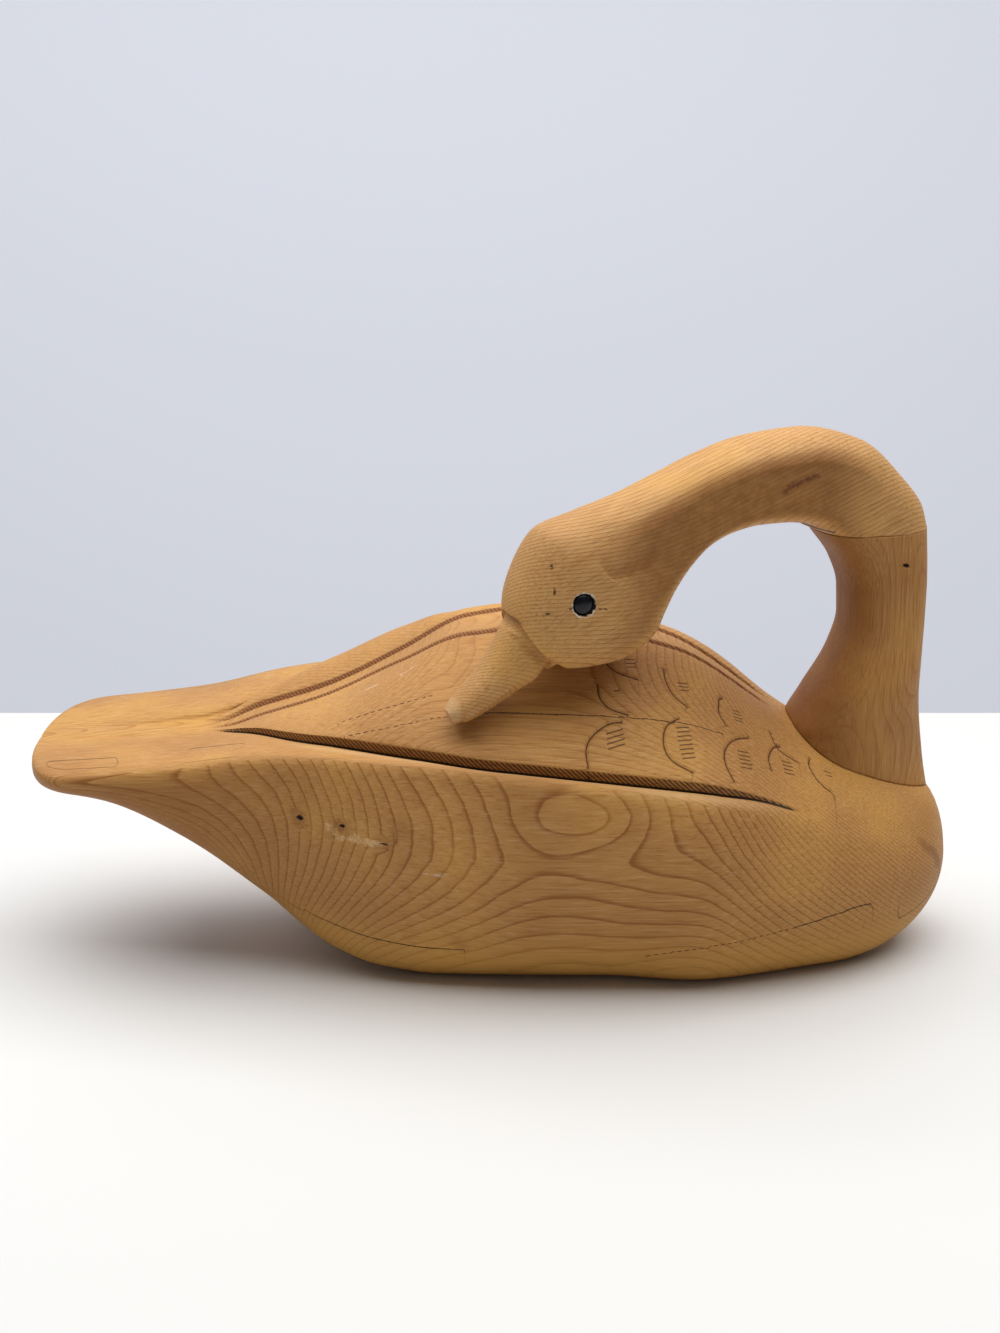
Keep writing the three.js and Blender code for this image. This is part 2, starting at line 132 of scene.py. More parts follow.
# %% Widths along the body, in percent of the half width
CREASE_WIDTH = smooth_line(
    (0, 64.1), (16.4, 66.4), (25.9, 71), (42, 90.1), (55.9, 98.1), (71.3, 92.7), (81.5, 83), (100, 72)
)
WING_WIDTH = smooth_line(
    (0, 7.6), (17.2, 9.2), (22.5, 21.4), (31.6, 57.3), (41.8, 76.3), (50.3, 85.5), (63.1, 86.6),
    (81.5, 77), (100, 58),
)
BAND_WIDTH = smooth_line(
    (0, 3.8), (19.5, 4.6), (23, 8.4), (36.1, 9.2), (50, 18.7), (59.8, 19.1), (73.6, 9.2),
    (81.1, 7.6), (87.7, 20), (100, 26),
)
BASE_WIDTH = smooth_line(
    (0, 30.5), (16.7, 21.4), (25.4, 22.9), (32.6, 42), (38, 51.9), (61.5, 52.7), (71.5, 61),
    (83.6, 50), (100, 36),
)
WING_ROUNDNESS = smooth_line((0, 2), (36, 3.2), (42, 2.2), (46, 1.4), (56, 1.3), (75, 1.4), (100, 2.2))
FLANK_SWELL = smooth_line((0, 100), (65, 100), (88, 260), (100, 260))
WING_GROOVE = smooth_line((19, 0), (27, 0.7), (40, 1), (70, 1), (79, 0.4), (82.5, 0))
BACK_GROOVE = smooth_line((17, 0), (24, 0.8), (35, 1), (76, 1), (81, 0))
FAR_WING_SWELL = smooth_line(
    (18, 0), (25, 2.6), (32, 4.2), (44, 4.4), (52, 5.2), (64, 4.8), (76, 5), (80, 3.4), (86, 0)
)
FAR_LEDGE_LIFT = smooth_line((3, 0), (12, 0.8), (22, 1.8), (29, 2.6), (36, 0.6), (42, 0))
BREAST_SHARE = smooth_line((74, 0), (88, 1), (100, 1))
BREAST_ROUNDNESS = 2.4


# %% All sizes of the body's section at one place, or at many at once
def mix(a, b, share):
    return a + (b - a) * share


def round_end(distance, length, squareness=2):
    left = np.clip(1 - distance / length, 0, 1)
    return (1 - left**squareness) ** (1 / squareness)


def body_sizes(x):
    at = (x - TAIL_X) / BODY_LENGTH * 100
    from_tail = x - TAIL_X + END_FLAT
    from_breast = BREAST_X - x + END_FLAT
    plan = round_end(from_tail, TAIL_CORNER, TAIL_SQUARENESS) * round_end(from_breast, BREAST_PLAN)
    chin = round_end(from_breast, BREAST_CHIN)
    keel = round_end(from_breast, BREAST_KEEL)

    def high(line, rounding=chin):
        return mix(BREAST_TIP_HEIGHT, line(at) * BACK_HEIGHT / 100, rounding)

    def wide(line):
        return line(at) * BODY_HALF_WIDTH * plan / 100

    return {
        "spine": high(SPINE_HEIGHT),
        "ledge": high(LEDGE_HEIGHT),
        "crease": high(CREASE_HEIGHT),
        "keel": high(KEEL_HEIGHT, keel),
        "crease_half": wide(CREASE_WIDTH),
        "wing_half": wide(WING_WIDTH),
        "band_half": wide(BAND_WIDTH),
        "base_half": wide(BASE_WIDTH),
        "bulge": FLANK_BULGE * FLANK_SWELL(at) * plan / 100,
        "plan": plan,
        "far_swell": FAR_WING_SWELL(at) * BACK_HEIGHT * plan / 100,
        "far_lift": FAR_LEDGE_LIFT(at) * BACK_HEIGHT * plan / 100,
        "breast": BREAST_SHARE(at),
        "roundness": WING_ROUNDNESS(at),
        "wing_groove": WING_GROOVE(at),
        "back_groove": BACK_GROOVE(at),
    }


# %% Heights of the wing, of the rounded breast, and of the whole upper side
def wing_height(s, y):
    """The far wing has a positive y and swells; the near one was hollowed for the turned head."""
    share = np.clip((np.abs(y) - s["band_half"]) / (s["wing_half"] - s["band_half"]), 0, 1)
    edge = s["ledge"] + WING_STEP * s["wing_groove"]
    swell = np.where(y > 0, s["far_swell"] * np.sin(math.pi * share), 0)
    return s["spine"] - (s["spine"] - edge) * share ** s["roundness"] + swell


def breast_height(s, y):
    share = np.clip(np.abs(y) / s["crease_half"], 0, 1)
    return s["crease"] + (s["spine"] - s["crease"]) * (1 - share**BREAST_ROUNDNESS)


def top_height(x, y):
    s = body_sizes(np.clip(x, TAIL_X, BREAST_X))
    return mix(wing_height(s, y), breast_height(s, y), s["breast"])


# %% [markdown]
# ## Half a section, from the underside up to the spine
#
# Each run of a section gets its own number of points. The wing's edge, its undercut and the two back
# grooves are small and sharp and get many, the flank is one long sweep and gets few. The near wing is
# the one that people look at, so it has the finest net.

# %% Half a section with a chosen fineness
FLANK_POINTS = 26
TOOTH_PITCH = 3.0
WALL_UNDERCUT = 2.0
GROOVE_FLOOR = 2.0
SHOULDER_RISE = 0.8


def bezier(a, b, c, d, t):
    s = 1 - t
    return s**3 * a + 3 * s * s * t * b + 3 * s * t * t * c + t**3 * d


def under_runs(s, side):
    """Underside and flank as (shares, place) runs; a place gives y and z for a share from 0 to 1."""
    height = s["crease"] - s["keel"]
    bilge = mix(s["base_half"], s["crease_half"], 0.8)
    lift = s["far_lift"] if side > 0 else 0 * height
    flank = lambda t: (
        bezier(s["base_half"], bilge, s["crease_half"] + s["bulge"], s["crease_half"], t),
        bezier(s["keel"], s["keel"], s["crease"] - 0.38 * height, s["crease"], t) + lift * t**2,
    )
    return [
        ([0, 0.4, 0.8, 1], lambda t: (s["base_half"] * t, s["keel"])),
        (np.linspace(0, 1, FLANK_POINTS + 1)[1:], flank),
    ]


def top_runs(s, side, wing_points):
    """Ledge, groove, wing and back, from the crease up to the spine."""
    groove = s["wing_groove"]
    lift = s["far_lift"] if side > 0 else 0 * groove
    ledge, crease = s["ledge"] + lift, s["crease"] + lift
    lip = s["wing_half"] + mix(PLAIN_MARGIN, LEDGE_MARGIN, groove) * s["plan"]
    inner = s["wing_half"] + mix(PLAIN_MARGIN / 2 * s["plan"], -WALL_UNDERCUT, groove)
    floor, edge = s["ledge"] - GROOVE_FLOOR * groove, s["ledge"] + WING_STEP * groove
    half_groove = BACK_GROOVE_WIDTH / 2 * s["plan"]
    shoulder = lambda t: mix(crease, ledge, t) + SHOULDER_RISE * math.sin(math.pi * t) * s["plan"]
    wing = lambda t: mix(s["wing_half"], s["band_half"] + half_groove, t)
    sag = lambda t: BACK_GROOVE_DEPTH * s["back_groove"] * (1 - abs(t) ** 1.5)
    return [
        ([0.25, 0.5, 0.75, 1], lambda t: (mix(s["crease_half"], lip, t), shoulder(t))),
        ([0.5, 1], lambda t: (mix(lip, inner, t), mix(ledge, floor, t))),
        (np.linspace(0, 1, 9)[1:-1], lambda t: (mix(inner, s["wing_half"], t), mix(floor, edge, t))),
        (np.linspace(0, 1, wing_points + 1), lambda t: (wing(t), wing_height(s, side * wing(t)))),
        ([-0.6, 0, 0.6], lambda t: (s["band_half"] - half_groove * t, s["spine"] - sag(t))),
        ([0, 0.35, 0.7, 1], lambda t: ((s["band_half"] - half_groove) * (1 - t), s["spine"])),
    ]


def half_section(s, side, wing_points):
    ys, zs = [], []
    for shares, place in under_runs(s, side):
        for t in shares:
            y, z = place(t)
            ys.append(y + 0 * s["keel"])
            zs.append(z + 0 * s["keel"])
    for shares, place in top_runs(s, side, wing_points):
        for t in shares:
            y, z = place(t)
            ys.append(y + 0 * s["keel"])
            zs.append(mix(z, breast_height(s, y), s["breast"]))
    return np.stack(ys, 1), np.stack(zs, 1)


# %% Places of the sections: close together where teeth and feathers are cut
TEETH_START = -210.0
FEATHERS_START = 18.0
FEATHERS_END = 210.0


def stations():
    tail = TAIL_X + TAIL_CORNER * (1 - np.cos(np.linspace(0, math.pi / 2, 15)))
    breast = BREAST_X - BREAST_KEEL * (1 - np.sin(np.linspace(0, math.pi / 2, 20)))
    plain_tail = np.arange(tail[-1], TEETH_START, 6)[1:]
    toothed = np.arange(TEETH_START, FEATHERS_START, TOOTH_PITCH / 2)
    feathered = np.arange(FEATHERS_START, FEATHERS_END, TOOTH_PITCH / 3)
    plain_breast = np.arange(FEATHERS_END, breast[0], 4)
    return np.concatenate([tail, plain_tail, toothed, feathered, plain_breast, breast])


NEAR_WING_POINTS = 84
FAR_WING_POINTS = 44
xs = stations()
sizes = body_sizes(xs)
far_y, far_z = half_section(sizes, 1, FAR_WING_POINTS)
near_y, near_z = half_section(sizes, -1, NEAR_WING_POINTS)


def both_sides(far, near):
    """A closed ring runs up the far side and back down the near side."""
    return np.concatenate([far, near[:, 1:-1][:, ::-1]], 1)


ring_y = both_sides(far_y, -near_y)
ring_z = both_sides(far_z, near_z)
body_table = np.stack([np.repeat(xs[:, None], ring_y.shape[1], 1), ring_y, ring_z], 2)
print("body:", body_table.shape[0], "sections of", body_table.shape[1], "points")

# %% [markdown]
# ## A sheet rolled into a skin
#
# A table of rings and places becomes a mesh in one way for every piece: Blender makes a flat grid, each
# of its points moves to its place in the table, and the two long edges meet and are merged, as when a
# sheet of paper is rolled up. The two open ends are then filled. A crack or a carved line is far
# thinner than the net of points. What the points carry well is the distance to it, since distance
# changes evenly, so the skin keeps such distances as marks and the finish draws sharp lines from them.


# %% Roll a grid of points into a closed skin
def rolled_skin(name, table, marks):
    """Marks are tables of one number for each point, which a finish can read by their names."""
    rings, places = table.shape[:2]
    mesh = bmesh.new()
    bmesh.ops.create_grid(mesh, x_segments=rings - 1, y_segments=places, size=1)
    new_layer = mesh.verts.layers.float.new
    layers = [(new_layer(mark), np.asarray(values, float)) for mark, values in marks.items()]
    seam = []
    for vert in mesh.verts:
        ring = round((vert.co.x + 1) / 2 * (rings - 1))
        place = round((vert.co.y + 1) / 2 * places)
        vert.co = table[ring, place % places] * MM
        for layer, values in layers:
            vert[layer] = values[ring, place % places]
        if place in (0, places):
            seam.append(vert)
    bmesh.ops.remove_doubles(mesh, verts=seam, dist=1e-7)
    rims = [edge for edge in mesh.edges if edge.is_boundary]
    ends = bmesh.ops.holes_fill(mesh, edges=rims, sides=0)["faces"]
    bmesh.ops.poke(mesh, faces=ends)
    bmesh.ops.recalc_face_normals(mesh, faces=mesh.faces)
    return as_piece(name, mesh)


def as_piece(name, mesh):
    data = bpy.data.meshes.new(name)
    mesh.to_mesh(data)
    mesh.free()
    data.shade_smooth()
    piece = bpy.data.objects.new(name, data)
    bpy.context.scene.collection.objects.link(piece)
    triangles = sum(len(face.vertices) - 2 for face in data.polygons)
    print(f"{name}: {len(data.vertices)} points, {triangles} triangles")
    return piece


# %% Push the points of a table in along their own normals
def outward(table):
    lengthways = np.gradient(table, axis=0)
    around = np.roll(table, -1, 1) - np.roll(table, 1, 1)
    normal = np.cross(around, lengthways)
    size = np.linalg.norm(normal, axis=2, keepdims=True)
    return normal / np.maximum(size, 1e-9)


def pushed_in(table, depth):
    return table - outward(table) * depth[..., None]


# %% Distance from points to a drawn line
FAR_OFF = 20.0


def distance_to_line(points, line, normal=None):
    """With a surface normal, places on the right of the line count as negative, so that the distance
    passes evenly through zero and a thin line isn't lost between two points of the net."""
    line = np.array(line, float)
    nearest = np.full(points.shape[:-1], FAR_OFF)
    for i, (a, b) in enumerate(zip(line[:-1], line[1:])):
        step = b - a
        share = (points - a) @ step / (step @ step)
        offset = points - (a + np.clip(share, 0, 1)[..., None] * step)
        gap = np.linalg.norm(offset, axis=-1)
        if normal is not None:
            right = (np.cross(step, normal) * offset).sum(-1) > 0
            past_end = ((share < 0) & (i == 0)) | ((share > 1) & (i == len(line) - 2))
            gap = np.where(right & ~past_end, -gap, gap)
        nearest = np.where(np.abs(gap) < np.abs(nearest), gap, nearest)
    return nearest


def nearest_line(points, lines, normal=None):
    nearest = np.full(points.shape[:-1], FAR_OFF)
    for line in lines:
        gap = distance_to_line(points, line, normal)
        nearest = np.where(np.abs(gap) < np.abs(nearest), gap, nearest)
    return nearest


def rounded(line, times=2):
    """Cuts the corners of a line, and again, until it is a curve."""
    line = np.array(line, float)
    for _ in range(times):
        a, b = line[:-1], line[1:]
        cuts = np.stack([mix(a, b, 0.25), mix(a, b, 0.75)], 1).reshape(-1, line.shape[1])
        line = np.concatenate([line[:1], cuts[1:-1], line[-1:]])
    return line


def smooth_step(value, start, end):
    t = np.clip((value - start) / (end - start), 0, 1)
    return t * t * (3 - 2 * t)


# %% [markdown]
# ## Feathers cut into the wings
#
# A carver pushes a small gouge into the wood for the round tip of a feather and adds short straight
# cuts inside it for the vanes. Each feather here is a short line of places on the wing, seen from
# above, with the rows of its vane cuts. The far wing gets the same feathers mirrored.

# %% Feather tips seen from above, and patches of vane cuts as (left, top, length, count)
FEATHERS = [
    [(72, -52), (75, -55), (81, -57), (92, -57)],
    [(66, -66), (66, -70), (67, -75), (73, -80), (85, -81)],
    [(110, -42), (110, -46), (111, -52), (115, -60), (124, -64)],
    [(149, -41), (146, -44), (146, -48), (145, -53), (146, -58), (150, -63)],
    [(81, -86), (75, -87), (69, -90), (60, -97), (57, -104), (59, -112)],
    [(118, -74), (110, -80), (107, -87), (107, -96), (112, -102), (125, -105)],
    [(164, -63), (157, -68), (151, -74), (146, -84), (147, -93), (152, -100)],
    [(186, -54), (182, -57), (179, -62), (176, -71), (178, -78)],
    [(180, -46), (183, -57), (189, -59), (197, -59)],
    [(206, -50), (204, -56), (208, -63), (212, -66), (219, -66)],
]
VANES = [
    (84, -46, 7, 3), (76, -69, 4, 1), (118, -49, 7, 3), (154, -47, 6, 4), (70, -94, 11, 4),
    (115, -81, 9, 8), (155, -78, 8, 5), (185, -66, 7, 4), (214, -54, 6, 2),
]
UP = np.array([0, 0, 1.0])
WINGS_ABOVE = 100
VANE_SPACING = 2.7
VANE_SHIFT = 0.4
VANE_SLOPE = 0.38
VANE_DEPTH = 0.3
CUT_DEPTH = 0.9
CUT_WIDTH = 1.5


def seen_from_above(points):
    """Places on the wings, with the far wing folded onto the near one."""
    return points * np.array([1, 0, 0]) - np.abs(points) * np.array([0, 1, 0])


def only_above(points, values):
    return np.where(points[..., 2] > WINGS_ABOVE, np.minimum(values, FAR_OFF), FAR_OFF)


def feather_distance(points):
    curves = [rounded([(x, y, 0) for x, y in line]) for line in FEATHERS]
    return only_above(points, nearest_line(seen_from_above(points), curves, UP))


def vane_marks(points):
    """Distance to the patches of vane cuts, below 0 inside, and the number of the row of cuts there."""
    x, y, _ = np.moveaxis(seen_from_above(points), -1, 0)
    nearest, row = np.full(x.shape, FAR_OFF), np.zeros(x.shape)
    for left, top, length, count in VANES:
        here = (top + (x - left) * VANE_SLOPE - y) / VANE_SPACING + 0.5
        beside = np.abs(x - left - length / 2 - here * VANE_SHIFT) - length / 2
        patch = np.maximum(beside, (np.abs(here - count / 2) - count / 2) * VANE_SPACING)
        row = np.where(patch < nearest, here, row)
        nearest = np.minimum(nearest, patch)
    return only_above(points, nearest), row


# %% [markdown]
# ## Tool marks in the grooves
#
# Under the wing's edge the gouge left a row of small teeth, and so did the one that cut the two lines
# down the back. The teeth are real steps in the skin: every second section of the net sits deeper.

# %% Teeth along the wing's edge and in the back grooves
def near(distance, reach):
    """1 on a line, fading to 0 at about twice the reach."""
    return np.exp(-((distance / reach) ** 2))


tooth_wave = 0.5 - 0.5 * np.cos(2 * math.pi * (xs - TEETH_START) / TOOTH_PITCH)
half_y, column = np.abs(ring_y), {name: size[:, None] for name, size in sizes.items()}
edge_height = column["ledge"] + WING_STEP * column["wing_groove"]
on_edge = near(half_y - column["wing_half"], 1.6) * near(ring_z - edge_height, 2.5)
on_edge = on_edge * column["wing_groove"]
in_back = near(half_y - column["band_half"], 3.2) * column["back_groove"] * (ring_z > WINGS_ABOVE)
tooth_depth = np.clip(on_edge + in_back, 0, 1) * tooth_wave[:, None]

# %% Where the groove's wall and its dark bottom are, by their places in the section, which are
# counted from the middle of the underside: 3 along it, then the flank's, then 4 over the shoulder
LIP_PLACE = 3 + FLANK_POINTS + 4
BOTTOM_PLACE = LIP_PLACE + 2
EDGE_PLACE = BOTTOM_PLACE + 8


def groove_marks(count):
    place = np.arange(count)
    wall = (place >= BOTTOM_PLACE) & (place <= EDGE_PLACE - 1)
    fade_in = smooth_step(place, BOTTOM_PLACE - 2, BOTTOM_PLACE)
    fade_out = 1 - smooth_step(place, BOTTOM_PLACE + 1, BOTTOM_PLACE + 3)
    open_groove = smooth_step(column["wing_groove"], 0.02, 0.3)
    return wall * open_groove, fade_in * fade_out * open_groove


far_wall, far_bottom = groove_marks(far_y.shape[1])
near_wall, near_bottom = groove_marks(near_y.shape[1])
print("groove bottom at place", BOTTOM_PLACE, "of", near_y.shape[1])

# %% [markdown]
# ## What age did to the body, and the carving of its skin
#
# Drying opened thin checks along the grain, a knot tore under the gouge and left small holes in a pale
# rough patch, pitch ran down the breast, and knocks left pale scuffs. They are kept as lines and spots
# in millimetres.

# %% Cracks, knots, scuffs and pitch on the body
DASHED_CRACKS = [
    [(-95, -82, 167), (-66, -86, 174), (-32, -85, 181), (-22, -86, 183)],
    [(-99, -69, 172), (-75, -72, 181), (-58, -72, 186), (-38, -71, 191)],
    [(97, -109, 28), (127, -113, 35), (163, -109, 39), (193, -101, 44)],
]
CRACKS = [
    [(-20, -86, 183), (1, -85, 184), (42, -86, 183), (82, -83, 180), (117, -77, 175), (146, -71, 165)],
    [(-179, -52, 71), (-165, -60, 60), (-149, -72, 50), (-114, -86, 45), (-91, -94, 38),
     (-62, -101, 33), (-44, -103, 31), (-19, -106, 31)],
    [(193, -101, 44), (233, -87, 53), (247, -79, 52)],
    [(300, -21, 48), (289, -37, 38), (265, -60, 32)],
    [(-290, -56, 143), (-240, -57, 146)],
    [(-196, -52, 149), (-160, -58, 152)],
]
KNOT_HOLES = [
    ([(-125, -100, 120), (-123, -100, 118)], 1.7), ([(-98, -108, 117), (-93, -109, 113)], 1.1),
    ([(-73, -115, 107), (-68, -116, 106)], 0.6), ([(-104, -106, 113), (-104, -106, 112)], 0.5),
    ([(-62, -117, 116), (-61, -117, 111)], 0.4), ([(-58, -118, 121), (-58, -118, 117)], 0.4),
    ([(-25, -109, 39), (-24, -109, 38)], 0.7), ([(-20, -106, 33), (-20, -106, 32)], 0.5),
]
TORN_KNOT = [(-103, -106, 113), (-96, -108, 111), (-72, -115, 106)]
SCUFFS = [
    [(-91, -41, 182), (-76, -42, 189)], [(-60, -43, 196), (-51, -38, 201)],
    [(-139, -96, 126), (-134, -97, 124)], [(-44, -119, 88), (-30, -121, 88)],
    [(88, -93, 168), (91, -97, 163)],
]
PITCH_STREAK = [(283, -47, 83), (288, -45, 78), (295, -36, 70), (298, -30, 60)]


def spot_distance(points, spots):
    """Distance to the rims of spots, each a short line with a radius."""
    nearest = np.full(points.shape[:-1], FAR_OFF)
    for line, radius in spots:
        nearest = np.minimum(nearest, distance_to_line(points, line) - radius)
    return nearest


# %% Carve the body and roll it up
feathers = feather_distance(body_table)
vanes, vane_row = vane_marks(body_table)
cut_depth = CUT_DEPTH * (1 - smooth_step(np.abs(feathers), 0.2, CUT_WIDTH))
cut_depth = cut_depth + VANE_DEPTH * (1 - smooth_step(vanes, -1, 1))
knots = spot_distance(body_table, KNOT_HOLES)
hole_depth = 2.2 * (1 - smooth_step(knots, -0.3, 0.9))
torn = distance_to_line(body_table, TORN_KNOT)
skin_normal = outward(body_table)
above_ledge = smooth_step(ring_z, column["ledge"] - 1, column["ledge"] + 3)
below_crease = 1 - smooth_step(ring_z, column["crease"] - 14, column["crease"])
towards_breast = smooth_step(xs, 20, 80)[:, None]
towards_tail = 1 - smooth_step(xs, -270, -30)[:, None]
# Where the groove's outer rim faces up; the finish paints it paler there as a painted highlight
on_ledge = near(half_y - column["wing_half"] - 6, 5) * near(ring_z - column["ledge"], 3)
body_marks = {
    "feather": feathers,
    "vane": vanes,
    "vane_row": vane_row,
    "calm": above_ledge * (1 - 0.6 * towards_breast),
    # painted shade: darker below the crease towards the tail, under the ledge's overhang
    "shade": below_crease * towards_tail,
    "crack": nearest_line(body_table, [rounded(line) for line in CRACKS], skin_normal),
    "dashed": nearest_line(body_table, [rounded(line) for line in DASHED_CRACKS], skin_normal),
    "knot": knots,
    "torn": torn,
    "scuff": nearest_line(body_table, SCUFFS),
    "pitch": distance_to_line(body_table, PITCH_STREAK),
    # the groove's wall and bottom, which the finish darkens as painted shade
    "wall": both_sides(far_wall, near_wall),
    "bottom": both_sides(far_bottom, near_bottom),
    "back_groove": in_back,
    "ledge": on_ledge * column["wing_groove"],
}
body_skin = pushed_in(body_table, cut_depth + 0.8 * tooth_depth + hole_depth + 0.5 * near(torn, 5))
body = rolled_skin("body_carved", body_skin, body_marks)
print("feather cuts reach", round(float(cut_depth.max()), 2), "mm deep")

# %% [markdown]
# ## The head and upper neck
#
# They were sawn from one thick plank, so they are drawn flat, as a side view: each row gives the point
# on the crown side, the point on the throat side, and half the thickness there. The whole side view
# then stands upright on the post, turned towards the near side, over the wing.

# %% Sizes of the neck and head
NECK_DEPTH = 75
NECK_WIDTH = 70
NECK_SET_BACK = 61.4
NECK_SINK = 7.5
HEAD_REACH = 291
HEAD_TURN = 20
HEAD_GAP = 2
JOINT_GAP = 0.3
SEAT_GAP = 0.4
NECK_SQUARENESS = 2.5
EYE_ALONG = 73.3
EYE_UP = -8.9
EYE_DIAMETER = 13
EYE_FIT = 0.3
NECK_X = BREAST_X - NECK_SET_BACK
NECK_FOOT = float(top_height(BREAST_X - BREAST_CHIN, 0)) - NECK_SINK

HEAD_LINES = [
    [-11.4, 5, 16.2, 1.4, 101], [-5.6, 12.2, 19.2, 2.7, 103], [3.8, 20.2, 24, 3, 103],
    [15.8, 23, 30.2, 2.8, 101], [28.9, 22, 36.6, 1.5, 98], [40.5, 18.9, 41.7, -1.1, 93],
    [50.9, 14.8, 45.5, -5.2, 90], [60.5, 11, 48.6, -9.9, 92], [70.2, 8, 51.1, -15, 99],
    [78.6, 5.1, 53, -19.2, 105], [83.8, -2.5, 56.8, -22.3, 106], [86, -9.4, 62.6, -24.6, 98],
    [86.4, -14.4, 70.4, -25.3, 84], [87, -15.5, 73.3, -25.3, 74], [87.4, -16.5, 75.4, -24.5, 55],
    [89.3, -20, 79.3, -26.7, 49], [92.2, -24.4, 84.9, -30.2, 45], [96, -28.5, 91, -33.7, 41],
    [98.8, -31.3, 95.7, -35.7, 34], [100, -33, 98.8, -35.9, 20],
]


# %% Directions of the head's plane and its rows in millimetres
def along(turn):
    return np.stack([-np.cos(turn), -np.sin(turn), 0 * turn], -1)


def across(turn):
    return np.stack([np.sin(turn), -np.cos(turn), 0 * turn], -1)


HEAD_ALONG = along(math.radians(HEAD_TURN))
HEAD_ACROSS = across(math.radians(HEAD_TURN))


def head_sections(rings):
    """Crown along and up, throat along and up, and half thickness, in mm, at evenly spread rings."""
    scale = np.array([HEAD_REACH / 100] * 4 + [NECK_WIDTH / 200])
    joint = [[-NECK_DEPTH / 2, 0, NECK_DEPTH / 2, 0, NECK_WIDTH / 2]]
    rows = np.concatenate([joint, np.array(HEAD_LINES) * scale])
    at = np.linspace(0, len(rows) - 1, rings)
    columns = [smooth_line(*enumerate(column))(at) for column in rows.T]
    return np.stack(columns, 1)


def oblong(middle, half_depth, half_width, sides, squareness, taper=0):
    """Rounded oblongs, one ring a row; taper narrows the end that depth points to."""
    angle = -np.arange(sides) / sides * 2 * math.pi
    power = 2 / squareness
    deep = np.sign(np.cos(angle)) * np.abs(np.cos(angle)) ** power
    broad = np.sign(np.sin(angle)) * np.abs(np.sin(angle)) ** power
    broad = broad * (1 - np.reshape(taper, (-1, 1)) * deep)
    in_depth = half_depth[:, None] * deep[..., None]
    return middle[:, None] + in_depth + half_width[:, None] * broad[..., None]


# %% The rings of the head, and how far it is lowered until it nearly touches the wing
HEAD_RINGS = 420
HEAD_SIDES = 176


def in_plane(along_plane, up):
    return along_plane[:, None] * HEAD_ALONG + up[:, None] * UP + np.array([NECK_X, 0, 0])


def head_table(rings, sides):
    rows = head_sections(rings)
    crown = in_plane(rows[:, 0], rows[:, 1])
    throat = in_plane(rows[:, 2], rows[:, 3])
    broad = rows[:, 4:] * HEAD_ACROSS
    return oblong((crown + throat) / 2, (crown - throat) / 2, broad, sides, NECK_SQUARENESS)


def joint_height():
    rings = head_table(44, 24)
    x, y, z = np.moveaxis(rings, 2, 0)
    over_wing = np.abs(y) < body_sizes(np.clip(x, TAIL_X, BREAST_X))["wing_half"]
    beyond_neck = x < NECK_X - NECK_DEPTH
    lift = np.where(over_wing & beyond_neck, top_height(x, y) - z, -1e9)
    return HEAD_GAP + float(lift.max())


JOINT_HEIGHT = joint_height()
head_rings = head_table(HEAD_RINGS, HEAD_SIDES) + UP * (JOINT_HEIGHT + JOINT_GAP / 2)
print("the neck's joint is", round(JOINT_HEIGHT, 1), "mm up")

# %% Where a point lies in the head's own side view
def head_view(points):
    """[along, up, side] of points in mm, measured from the joint; side is positive on the near side."""
    from_joint = points - np.array([NECK_X, 0, JOINT_HEIGHT])
    return np.stack([from_joint @ HEAD_ALONG, from_joint @ UP, from_joint @ HEAD_ACROSS], -1)


# %% [markdown]
# ## Knife cuts on the head
#
# The face was finished with a knife: sockets for the beads, an edge where the cheek drops to the bill,
# a step where the last cut of the neck ran out behind the eye, and flats along the neck. Each is a
# distance in the side view, and its depth pushes the skin in.

# %% The cuts and spots, as [along, up] from the joint
EYE = np.array([EYE_ALONG, EYE_UP]) * HEAD_REACH / 100
CHEEK_EDGE = [
    (262, -30), (258, -34.8), (249.5, -37.3), (246.9, -43.3), (244.2, -48.7), (240.3, -53.6),
    (236.3, -58.5), (231.6, -62.8), (226, -68),
]
TEMPLE_EDGE = [
    (163.8, -3.2), (173.7, -8.7), (182.4, -11.1), (192.4, -12.2), (197.1, -9.9), (201.2, -4.5),
    (204, 0),
]
CHEEK_NOTCH = (252, -39)
BILL_NAIL = (288.5, -99)
KNOT_LINE = [(56, 42.5), (66, 39.6), (78, 34.6)]
HEAD_SPOTS = [
    ([(230.9, -1.4), (231, -3.5)], 0.5), ([(230.8, -15.2), (231.2, -19)], 0.5),
    ([(236, -30.6), (234.5, -30.6)], 0.5), ([(223, -27.6), (219, -26.9)], 0.5),
    ([(205, -28.6), (197, -29.8)], 0.3), ([(242, -32), (229, -32.4), (216, -33)], -0.1),
    ([(228, -8), (228.5, -10)], 0.2), ([(56, 9.2), (51.6, 7.2), (44.4, 4.6), (36.4, 3)], 0.45),
]


def past_cheek(at):
    """How far a place lies beyond the cheek's edge, on the bill."""
    edge = np.array(CHEEK_EDGE)[::-1]
    return (at[..., 0] - np.interp(at[..., 1], edge[:, 1], edge[:, 0])) * 0.85


def above_temple(at):
    """How far a place lies above the step that the neck's last cut left behind the eye."""
    edge = np.array(TEMPLE_EDGE)
    return at[..., 1] - np.interp(at[..., 0], edge[:, 0], edge[:, 1])


def within(value, start, end, soft):
    return smooth_step(value, start, start + soft) * (1 - smooth_step(value, end - soft, end))


